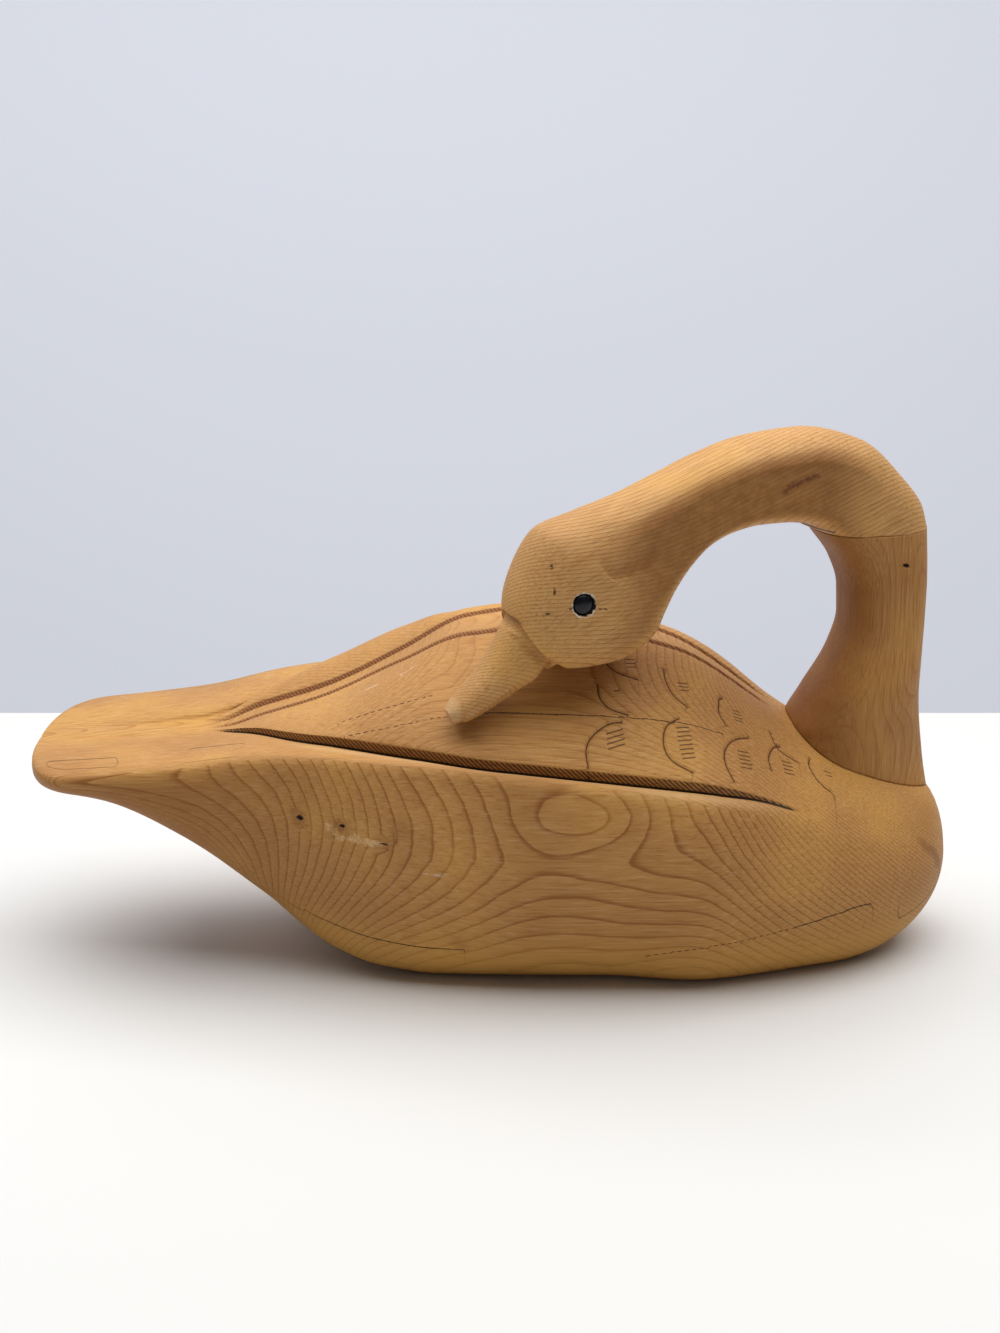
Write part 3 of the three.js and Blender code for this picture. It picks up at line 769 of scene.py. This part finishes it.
# %% Facets: the flat sides of the neck and the bevels below the bill
NECK_FACET = 0.935
view = head_view(head_rings)
thickness = head_sections(HEAD_RINGS)[:, 4:]
limit = thickness * NECK_FACET
on_neck = within(view[..., 0], -10, 200, 35)
excess = np.clip(np.abs(view[..., 2]) - limit, 0, None) * on_neck
head_rings = head_rings - HEAD_ACROSS * (np.sign(view[..., 2]) * excess)[..., None]
angle = -np.arange(HEAD_SIDES) / HEAD_SIDES * 2 * math.pi
lowness = np.abs(np.sin(angle)) ** 0.8 - np.sign(np.cos(angle)) * np.abs(np.cos(angle)) ** 0.8
bevel = np.clip(lowness - 1.25, 0, 1) * thickness * smooth_step(view[..., 0], 236, 252)

# %% The depth of every cut, and the skin pushed in by it
eye_distance = np.linalg.norm(view[..., :2] - EYE, axis=-1)
bill = past_cheek(view)
temple = above_temple(view)
socket = 3.0 * (1 - smooth_step(eye_distance, 6.4, 7.6))
undercut = 2.3 * smooth_step(bill, -0.3, 0.9) * (1 - smooth_step(bill, 1.5, 9))
notch = 1.2 * near(view[..., 0] - CHEEK_NOTCH[0], 6) * near(view[..., 1] - CHEEK_NOTCH[1], 2.5)
temple_step = 0.9 * smooth_step(temple, -0.4, 0.8) * (1 - smooth_step(temple, 4, 20))
temple_step = temple_step * within(view[..., 0], 160, 206, 10)
nail = 0.9 * near(np.linalg.norm(view[..., :2] - np.array(BILL_NAIL), axis=-1), 1.8)
head_skin = pushed_in(head_rings, socket + undercut + notch + temple_step + nail + bevel * 0.6)
flat_view = view[..., :2]
near_side = view[..., 2] > 0
broad_sides = smooth_step(np.abs(view[..., 2]) / thickness, 0.7, 0.92)
temple_shade = smooth_step(temple, -0.3, 0.6) * (1 - smooth_step(temple, 3, 16))
head_marks = {
    "eye": eye_distance,
    "spot": np.where(near_side, spot_distance(flat_view, HEAD_SPOTS), FAR_OFF),
    "knot": np.where(near_side, distance_to_line(flat_view, KNOT_LINE), FAR_OFF),
    "cheek": bill,
    # painted shade on the neck's broad flat sides, together with a darker wood there
    "shade": broad_sides * within(view[..., 0], 5, 205, 45),
    # painted shade in the recess just above the step behind the eye
    "temple": temple_shade * within(view[..., 0], 158, 208, 12),
    "tip": smooth_step(view[..., 0], 283, 289),
}
head = rolled_skin("head_carved", head_skin, head_marks)

# %% [markdown]
# ## The lower neck
#
# The post is square to the body at its foot and square to the turned head at its top, so its section
# twists on the way up. Each upright line of points starts where it meets the body's skin.

# %% The post
NECK_REAR = smooth_line(
    (0, 136), (27, 130), (38, 104), (56, 53), (67, 37), (77, 38), (88, 56), (100, 100)
)
NECK_FRONT = smooth_line((0, 131), (15, 118), (45, 103), (77, 104), (100, 100))
NECK_SIDE = smooth_line((0, 106), (20, 104), (40, 100), (65, 95), (100, 100))
NECK_TAPER = smooth_line((0, 0.45), (15, 0.4), (50, 0), (100, 0))
POST_RINGS = 150
POST_SIDES = 140


def post_table(rings, sides):
    share = np.linspace(0, 1, rings)
    turn = math.radians(HEAD_TURN) * share
    rear = NECK_REAR(share * 100) * NECK_DEPTH / 200
    front = NECK_FRONT(share * 100) * NECK_DEPTH / 200
    forward = along(turn)
    height = mix(NECK_FOOT, JOINT_HEIGHT - JOINT_GAP / 2, share)
    axis = np.stack([NECK_X + 0 * height, 0 * height, height], 1)
    middle = axis + forward * ((rear - front) / 2)[:, None]
    half_width = across(turn) * (NECK_SIDE(share * 100) * NECK_WIDTH / 200)[:, None]
    half_depth = -forward * ((rear + front) / 2)[:, None]
    return oblong(middle, half_depth, half_width, sides, NECK_SQUARENESS, NECK_TAPER(share * 100))


# %% Start each upright line of the post at the body's skin
fine = post_table(600, POST_SIDES)
clear = fine[..., 2] - top_height(fine[..., 0], fine[..., 1]) - SEAT_GAP
start = np.argmax(clear > 0, axis=0)
columns = []
for side in range(POST_SIDES):
    at = np.linspace(start[side], 599, POST_RINGS)
    columns.append(np.stack([np.interp(at, np.arange(600), fine[:, side, k]) for k in range(3)], 1))
post_rings = np.stack(columns, 1)
POST_SPOTS = [([(265, -29, 266), (267, -28, 265)], 1.0), ([(258, -30, 266), (258, -30, 264)], 0.3)]
spots = spot_distance(post_rings, POST_SPOTS)
low = 1 - smooth_step(post_rings[..., 2], NECK_FOOT, JOINT_HEIGHT)
rear = 1 - smooth_step(post_rings[..., 0], NECK_X - 30, NECK_X + 22)
# painted shade at the rear and low down on the post
post_marks = {"spot": spots, "shade": rear * (0.45 + 0.55 * low)}
post_skin = pushed_in(post_rings, 1.6 * (1 - smooth_step(spots, -0.5, 0.6)))
post = rolled_skin("lower_neck_carved", post_skin, post_marks)

# %% [markdown]
# ## The eyes
#
# Each eye is a dark bead pushed into a drilled hole. It is a short profile, spun about its own axis.


# %% Spin a bead and set it in the head
def bead(name, side):
    mesh = bmesh.new()
    radius = EYE_DIAMETER / 2 - EYE_FIT
    profile = [(0, -3.0), (radius * 0.8, -3.0), (radius, -2.0), (radius, 0.0)]
    profile += [(radius * math.cos(a), 1.8 * math.sin(a)) for a in np.linspace(0.2, 1.3, 7)]
    profile += [(0, 1.8)]
    verts = [mesh.verts.new((r * MM, 0, z * MM)) for r, z in profile]
    edges = [mesh.edges.new(pair) for pair in zip(verts[:-1], verts[1:])]
    full_turn = {"cent": (0, 0, 0), "axis": (0, 0, 1), "angle": 2 * math.pi, "steps": 40}
    bmesh.ops.spin(mesh, geom=verts + edges, use_merge=True, **full_turn)
    bmesh.ops.remove_doubles(mesh, verts=mesh.verts, dist=1e-6)
    bmesh.ops.recalc_face_normals(mesh, faces=mesh.faces)
    reach = np.where(eye_distance < 7.5, np.abs(view[..., 2]), 0).max()
    place = np.array([NECK_X, 0, JOINT_HEIGHT]) + HEAD_ALONG * EYE[0] + UP * EYE[1]
    place += HEAD_ACROSS * side * (reach - 2.4)
    aim = Vector((0, 0, 1)).rotation_difference(Vector(HEAD_ACROSS * side)).to_matrix().to_4x4()
    mesh.transform(Matrix.Translation(Vector(place * MM)) @ aim)
    return as_piece(name, mesh)


left_bead = bead("left_bead", 1)
right_bead = bead("right_bead", -1)

# %% [markdown]
# ## Shader maths as plain expressions
#
# A finish is a small tree of nodes. To keep it readable, a number that changes over the surface is
# wrapped in a class whose + - * / add the Math nodes, so a formula reads as a formula.


# %% A number that changes over a surface
class Value:
    def __init__(self, finish, socket):
        self.finish, self.socket = finish, socket

    def math(self, operation, *others):
        sockets = dict(enumerate((self, *others)))
        return self.finish.value("ShaderNodeMath", {"operation": operation}, sockets)

    def __add__(self, other):
        return self.math("ADD", other)

    def __sub__(self, other):
        return self.math("SUBTRACT", other)

    def __mul__(self, other):
        return self.math("MULTIPLY", other)

    def __truediv__(self, other):
        return self.math("DIVIDE", other)

    def __pow__(self, other):
        return self.math("POWER", other)

    def __rsub__(self, other):
        return self.finish.value("ShaderNodeMath", {"operation": "SUBTRACT"}, {0: other, 1: self})

    __radd__ = __add__
    __rmul__ = __mul__

    def step(self, start, end):
        """0 before start, 1 after end, smooth between; start may be the larger."""
        ends = {"Value": self, "From Min": start, "From Max": end}
        return self.finish.value("ShaderNodeMapRange", {"interpolation_type": "SMOOTHSTEP"}, ends)


# %% A finish and the one method that adds any node to it
class Finish:
    def __init__(self, name, roughness=0.5):
        self.material = bpy.data.materials.new(name)
        self.material.use_nodes = True
        self.tree = self.material.node_tree
        self.shader = self.tree.nodes["Principled BSDF"]
        self.shader.inputs["Roughness"].default_value = roughness

    def add(self, kind, settings=(), sockets=()):
        node = self.tree.nodes.new(kind)
        for name, setting in dict(settings).items():
            setattr(node, name, setting)
        for name, given in dict(sockets).items():
            self.give(node.inputs[name], given)
        return node

    def give(self, socket, given):
        if isinstance(given, Value):
            self.tree.links.new(given.socket, socket)
        else:
            socket.default_value = given

    def value(self, kind, settings=(), sockets=(), output=0):
        return Value(self, self.add(kind, settings, sockets).outputs[output])

    def mark(self, name):
        return self.value("ShaderNodeAttribute", {"attribute_name": name}, output="Fac")

    def noise(self, vector, scale, detail=2, roughness=0.5):
        sockets = {"Vector": vector, "Scale": scale, "Detail": detail, "Roughness": roughness}
        return self.value("ShaderNodeTexNoise", sockets=sockets)

    def blend(self, share, first, second):
        sockets = {0: share, 6: first, 7: second}
        return self.value("ShaderNodeMix", {"data_type": "RGBA"}, sockets, output=2)

    def paint(self, **sockets):
        for name, given in sockets.items():
            self.give(self.shader.inputs[name.replace("_", " ")], given)


# %% [markdown]
# ## Wood
#
# A tree grows one ring a year round its pith: pale, quick spring wood, then a thin dark line of summer
# wood. So the grain of any cut piece is the distance to the pith, folded into rings. The pith runs
# lengthways through the block, and every curve of the carving then shows its own contour lines, as on
# the real bird. Slow noise bends the rings and fast, stretched noise draws the fibres.

# %% Colours of the wood, as red, green, blue and alpha
SPRING_WOOD = (0.54, 0.275, 0.085, 1)
SUMMER_WOOD = (0.27, 0.090, 0.018, 1)
# An old stain, also used as painted shade in the grooves, under the cheek and on shaded sides
STAIN_AND_SHADE = (0.22, 0.078, 0.020, 1)
GROOVE_STAIN = (0.20, 0.060, 0.020, 1)
DARK_CUT = (0.055, 0.020, 0.008, 1)
BLACK_GAP = (0.010, 0.005, 0.003, 1)
# Pale worn wood, also used as a painted highlight on the groove's outer rim
PALE_WEAR_AND_HIGHLIGHT = (0.74, 0.50, 0.26, 1)
# Golden wood for the wood's random tone, also used as painted light bounced up onto the lower flank
GOLDEN_WOOD_AND_BOUNCE_LIGHT = (0.66, 0.355, 0.075, 1)
PALE_HEAD_WOOD = (0.62, 0.345, 0.125, 1)
SCUFFED_WOOD = (0.85, 0.74, 0.60, 1)
KNOT_WOOD = (0.13, 0.040, 0.016, 1)
GLUE_RIM = (0.68, 0.60, 0.50, 1)


# %% Rings and fibres about a pith
class Grain:
    """Rings about a pith along the mapped X axis. All lengths in metres."""

    def __init__(self, finish, pith, turn, pitch, wobble):
        self.finish = finish
        self.here = finish.value("ShaderNodeTexCoord", output="Object")
        placing = {"Vector": self.here, "Location": pith, "Rotation": turn}
        self.inside = finish.value("ShaderNodeMapping", {"vector_type": "TEXTURE"}, placing)
        long_wave = finish.value("ShaderNodeMapping", {}, {"Vector": self.inside, "Scale": (0.45, 1, 1)})
        slow = finish.noise(long_wave, 7, 1)
        quick = finish.noise(long_wave, 60, 2)
        split = finish.add("ShaderNodeSeparateXYZ", sockets={"Vector": self.inside})
        self.x, self.y, self.z = (Value(finish, output) for output in split.outputs)
        self.radius = (self.y * self.y + self.z * self.z).math("SQRT")
        self.pitch = pitch
        self.bent = self.radius + (slow - 0.5) * wobble + (quick - 0.5) * (pitch * 0.35)

    def swell(self, x, z, width, height, amount):
        """Pushes the rings out round one place, as a hidden branch does."""
        dx, dz = (self.x - x) / width, (self.z - z) / height
        hill = (dx * dx + dz * dz) * -1
        self.bent = self.bent + hill.math("EXPONENT") * amount

    def lean(self, x, amount):
        """Bends the rings beyond one place, where the trunk itself was bent."""
        beyond = (self.x - x).math("MINIMUM", 0)
        self.bent = self.bent - beyond * beyond * amount

    def summer(self):
        """0 in the spring wood, 1 on the thin dark line that closes a year."""
        year = (self.bent / self.pitch).math("FRACT")
        line = year.step(0.70, 0.93) ** 1.6
        return (line * 0.8 + year.step(0.15, 0.9) * 0.2) * year.step(1.0, 0.95)

    def fibre(self, scale, stretch=0.035):
        sockets = {"Vector": self.inside, "Scale": (stretch, 1, 1)}
        return self.finish.noise(self.finish.value("ShaderNodeMapping", {}, sockets), scale, 3, 0.65)


# %% Bare wood: its colour and its height
class Wood(Finish):
    def __init__(self, name, grain, line, stain, spring=SPRING_WOOD):
        super().__init__(name)
        self.shader.inputs["Specular IOR Level"].default_value = 0.16
        self.grain = Grain(self, *grain)
        self.line, self.stain, self.spring = line * (1 - self.mark("calm") * 0.6), stain, spring

    def start(self):
        """Call when the grain is bent into shape."""
        summer, fibre, pore = self.grain.summer(), self.grain.fibre(800), self.grain.fibre(1900, 0.06)
        tone = self.noise(self.grain.here, 11, 3)
        self.rough = self.noise(self.grain.here, 420, 3, 0.7)
        self.colour = self.blend(summer * self.line * (0.7 + pore * 0.6), self.spring, SUMMER_WOOD)
        self.cover(tone.step(0.38, 0.75) * self.stain, STAIN_AND_SHADE)
        self.cover(tone.step(0.54, 0.34) * 0.4, GOLDEN_WOOD_AND_BOUNCE_LIGHT)
        self.cover(fibre.step(0.5, 0.72) * 0.42, STAIN_AND_SHADE)
        self.cover(fibre.step(0.48, 0.3) * 0.25, PALE_WEAR_AND_HIGHLIGHT)
        self.cover(pore.step(0.55, 0.72) * 0.45, SUMMER_WOOD)
        self.height = summer * 0.3 + fibre * 0.45 + pore * 0.35
        self.shine = 0.44 + fibre * 0.16

    def cover(self, share, colour):
        self.colour = self.blend(share, self.colour, colour)

    def cut(self, share, colour, depth):
        self.cover(share, colour)
        self.height = self.height - share * depth

    def close(self):
        sockets = {"Strength": 0.6, "Distance": 0.0007, "Height": self.height}
        bump = self.value("ShaderNodeBump", {}, sockets)
        self.paint(Base_Color=self.colour, Normal=bump, Roughness=self.shine)


# %% [markdown]
# ## The finish of each piece
#
# A finish starts with bare wood about its own pith. Then each mark of the skin is covered with a
# stain, with painted shade or with a painted highlight, or cut in as a dark line, the broad ones
# first and the fine ones last.

# %% The body's finish: its rings, with a hidden branch that pushes them out into an oval
RING_PHASE = 0.0006
body_grain = ((0, 0.006, 0.120), (0, 0, 0), 0.0022, 0.0026)
body_finish = Wood("honey_pine_body", body_grain, line=0.8, stain=0.25)
grain = body_finish.grain
grain.swell(x=0.058, z=0.009, width=0.040, height=0.016, amount=0.0036)
grain.swell(x=0.060, z=-0.024, width=0.060, height=0.014, amount=-0.0010)
grain.bent = grain.bent - RING_PHASE
body_finish.start()

# %% Grooves: hatched by the gouge, painted shade on the wall, black at the bottom, a painted highlight on the rim outside
TOOTH_LINES = 0.0030
wall, bottom = body_finish.mark("wall"), body_finish.mark("bottom")
hatch = ((grain.x + grain.z) / TOOTH_LINES + (body_finish.rough - 0.5) * 0.3).math("FRACT")
tooth = hatch.step(0.40, 0.75) * hatch.step(1.0, 0.9)
# Painted shade: the wall under the wing's edge is darkened and its bottom drawn black; the gouge's teeth
# are dark lines on it
body_finish.cover(wall * 0.35, STAIN_AND_SHADE)
body_finish.cut(wall * tooth * 0.95, DARK_CUT, 1.2)
body_finish.cut(bottom.step(0.2, 0.6), BLACK_GAP, 1.0)
# Painted highlight: the up-facing rim outside the groove is made paler
body_finish.cover(body_finish.mark("ledge") * 0.5, PALE_WEAR_AND_HIGHLIGHT)
back_groove = body_finish.mark("back_groove")
body_finish.cut(back_groove.step(0.1, 0.5) * (0.55 + tooth * 0.45), GROOVE_STAIN, 0.8)

# %% Feather cuts, checks, the torn knot, scuffs and pitch
rough = body_finish.rough
# Painted light: the lower flank is made brighter and more golden, as by light bounced up from the table
body_finish.cover(grain.z.step(-0.060, -0.110) * 0.5, GOLDEN_WOOD_AND_BOUNCE_LIGHT)
dash = ((grain.x + grain.y * 0.4) / 0.0046 + rough * 0.5).math("FRACT")
marks = [body_finish.mark(name) for name in ("feather", "crack", "dashed")]
feather, crack, dashed = [mark.math("ABSOLUTE") for mark in marks]
knot, torn = body_finish.mark("knot"), body_finish.mark("torn")
body_finish.cover((feather + rough).step(2.6, 1.0) * 0.25, STAIN_AND_SHADE)
body_finish.cut((feather + rough * 0.5).step(0.80, 0.40) * 0.85, DARK_CUT, 1.0)
row = body_finish.mark("vane_row").math("FRACT")
stroke = row.step(0.30, 0.42) * row.step(0.72, 0.60)
body_finish.cut((body_finish.mark("vane") + rough * 3).step(1.7, 1.1) * stroke * 0.8, DARK_CUT, 0.3)
body_finish.cut((crack + rough * 1.2).step(1.35, 0.6) * 0.95, BLACK_GAP, 1.5)
body_finish.cut((dashed + rough * 0.5).step(0.80, 0.4) * dash.step(0.35, 0.5) * 0.9, DARK_CUT, 1.5)
# Painted shade below the crease towards the tail, where the ledge overhangs the flank
body_finish.cover(body_finish.mark("shade") * 0.55, STAIN_AND_SHADE)
body_finish.cover((knot + rough * 3).step(9, 2) * 0.3, STAIN_AND_SHADE)
blot = body_finish.noise(grain.here, 130, 4, 0.7)
patch = (torn + blot * 14 + grain.fibre(500, 0.2) * 5 + (grain.x + 0.10) * 60).step(14.5, 11.5)
body_finish.cover(patch * (rough.step(0.35, 0.6) * 0.6 + 0.25), PALE_WEAR_AND_HIGHLIGHT)
body_finish.cut(patch * rough.step(0.62, 0.72) * 0.7, STAIN_AND_SHADE, 1.5)
body_finish.cut((knot + rough * 0.8).step(0.75, 0.25), BLACK_GAP, 2.0)
body_finish.cover((body_finish.mark("pitch") + rough * 6).step(9, 4.5) * 0.6, STAIN_AND_SHADE)
scuff = (body_finish.mark("scuff") + blot * 6).step(5.0, 2.6) * grain.fibre(700, 0.12).step(0.44, 0.60)
body_finish.cover(scuff * 0.7, SCUFFED_WOOD)
body_finish.close()

# %% The head's finish: the neck's grain slants up to the arch and levels out on the face
NECK_SLANT = math.radians(-22)
head_grain = ((0.268, -0.124, 0.117), (0, NECK_SLANT, math.radians(HEAD_TURN)), 0.0027, 0.004)
head_finish = Wood("pale_pine_head", head_grain, line=0.65, stain=0.25, spring=PALE_HEAD_WOOD)
head_finish.grain.lean(x=-0.03, amount=2.2)
head_finish.start()
rough = head_finish.rough
eye, knot, spot, cheek = (head_finish.mark(name) for name in ("eye", "knot", "spot", "cheek"))
blot = head_finish.noise(head_finish.grain.here, 130, 4, 0.7)
# Painted shade on the neck's flat sides, mixed with a darker wood there
head_finish.cover(head_finish.mark("shade") * (0.4 + blot * 0.6), STAIN_AND_SHADE)
# Painted shade above the step behind the eye
head_finish.cover(head_finish.mark("temple") * 0.4, STAIN_AND_SHADE)
head_finish.cover((knot + blot * 12).step(9.0, 5.5) * 0.85, KNOT_WOOD)
# Painted shade on the bill under the overhanging cheek edge
head_finish.cover(cheek.step(-0.8, 0.4) * cheek.step(6.5, 1.0) * 0.4, STAIN_AND_SHADE)
head_finish.cover(head_finish.mark("tip") * 0.5, PALE_WEAR_AND_HIGHLIGHT)
head_finish.cut((spot + rough * 0.8).step(0.9, 0.3) * 0.9, DARK_CUT, 1.0)
ragged = eye + head_finish.noise(head_finish.grain.here, 380, 3, 0.7) * 3.2
head_finish.cover(ragged.step(10.2, 9.4) * (0.15 + blot.step(0.42, 0.6) * 0.8), GLUE_RIM)
head_finish.cut(ragged.step(9.1, 8.6), BLACK_GAP, 0.5)
head_finish.close()

# %% The post's finish: upright grain, darker low down and at the rear
post_grain = ((0.226, 0.022, 0), (0, math.radians(-90), 0), 0.0013, 0.003)
post_finish = Wood("amber_pine_post", post_grain, line=0.4, stain=0.35)
post_finish.start()
blot = post_finish.noise(post_finish.grain.here, 60, 4, 0.6)
post_finish.cover(blot * 0.2 + 0.12, STAIN_AND_SHADE)
# Painted shade: darker at the rear and low down on the post
post_finish.cover(post_finish.mark("shade") * (0.5 + blot * 0.6), STAIN_AND_SHADE)
post_finish.cut((post_finish.mark("spot") + post_finish.rough * 0.8).step(0.9, 0.3), BLACK_GAP, 1.5)
post_finish.close()

# %% The beads' finish
bead_finish = Finish("black_glass_bead", roughness=0.12)
bead_finish.shader.inputs["Specular IOR Level"].default_value = 0.3
here = bead_finish.value("ShaderNodeTexCoord", output="Object")
cloud = bead_finish.noise(here, 300, 2)
colour = bead_finish.blend(cloud.step(0.4, 0.8), (0.003, 0.003, 0.005, 1), (0.010, 0.010, 0.016, 1))
bead_finish.paint(Base_Color=colour, Roughness=0.10 + cloud * 0.15)

# %% Give each piece its finish and its place in the frame
PIECES = [
    (body, "body", "body_wood", body_finish),
    (head, "head_and_upper_neck", "head_wood", head_finish),
    (post, "lower_neck", "neck_wood", post_finish),
    (left_bead, "left_eye", "eye_bead", bead_finish),
    (right_bead, "right_eye", "eye_bead", bead_finish),
]
for piece, node, slot, finish in PIECES:
    piece.data.materials.append(finish.material)
    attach(piece, "root")
    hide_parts(node)

# %% [markdown]
# ## Table, light and camera
#
# The bird stands on a plain pale table before a pale wall, under one broad soft light from above, so
# its upper sides are bright and its flank falls into a warm half shade. The lamp hardly reaches the
# wall, so the wall gives off a little light of its own.


# %% A plain sheet for the table and the wall
def plain_sheet(name, corners, colour, glow=0):
    mesh = bmesh.new()
    mesh.faces.new([mesh.verts.new(corner) for corner in corners])
    sheet = as_piece(name, mesh)
    paint = Finish(name + "_paint", roughness=0.55)
    paint.shader.inputs["Base Color"].default_value = colour
    paint.shader.inputs["Emission Color"].default_value = colour
    paint.shader.inputs["Emission Strength"].default_value = glow
    sheet.data.materials.append(paint.material)


TABLE_BACK = 0.489
WALL = 2.6
table = [(-3, -2.4, 0), (3, -2.4, 0), (3, TABLE_BACK, 0), (-3, TABLE_BACK, 0)]
wall = [(-4, WALL, -2), (4, WALL, -2), (4, WALL, 3.5), (-4, WALL, 3.5)]
plain_sheet("table", table, (0.76, 0.757, 0.74, 1))
plain_sheet("wall", wall, (0.80, 0.83, 0.92, 1), glow=0.42)

# %% Light
world = bpy.data.worlds.new("soft_room")
world.use_nodes = True
world.node_tree.nodes["Background"].inputs[0].default_value = (1.0, 0.98, 0.96, 1)
world.node_tree.nodes["Background"].inputs[1].default_value = 0.13
bpy.context.scene.world = world


def soft_light(name, place, target, size, power):
    data = bpy.data.lights.new(name, "AREA")
    data.shape, data.size, data.size_y, data.energy = "RECTANGLE", size[0], size[1], power
    light = bpy.data.objects.new(name, data)
    light.location = place
    light.rotation_euler = (Vector(target) - Vector(place)).to_track_quat("-Z", "Y").to_euler()
    bpy.context.scene.collection.objects.link(light)


soft_light("lamp_above", (0.02, 0.14, 1.8), (0, 0, 0), (3.4, 2.2), 70)
bpy.context.scene.view_settings.view_transform = "Standard"

# %% Camera
PHOTO_HEIGHT = 1333
FOCAL_PIXELS = 2269.4
camera_data = bpy.data.cameras.new("camera")
camera_data.sensor_width = 36
camera_data.lens = FOCAL_PIXELS * 36 / PHOTO_HEIGHT
camera = bpy.data.objects.new("camera", camera_data)
camera.location = (0.00373, -1.450, 0.621)
camera.rotation_euler = (math.radians(90 - 16.586), 0, 0)
bpy.context.scene.collection.objects.link(camera)
bpy.context.scene.camera = camera
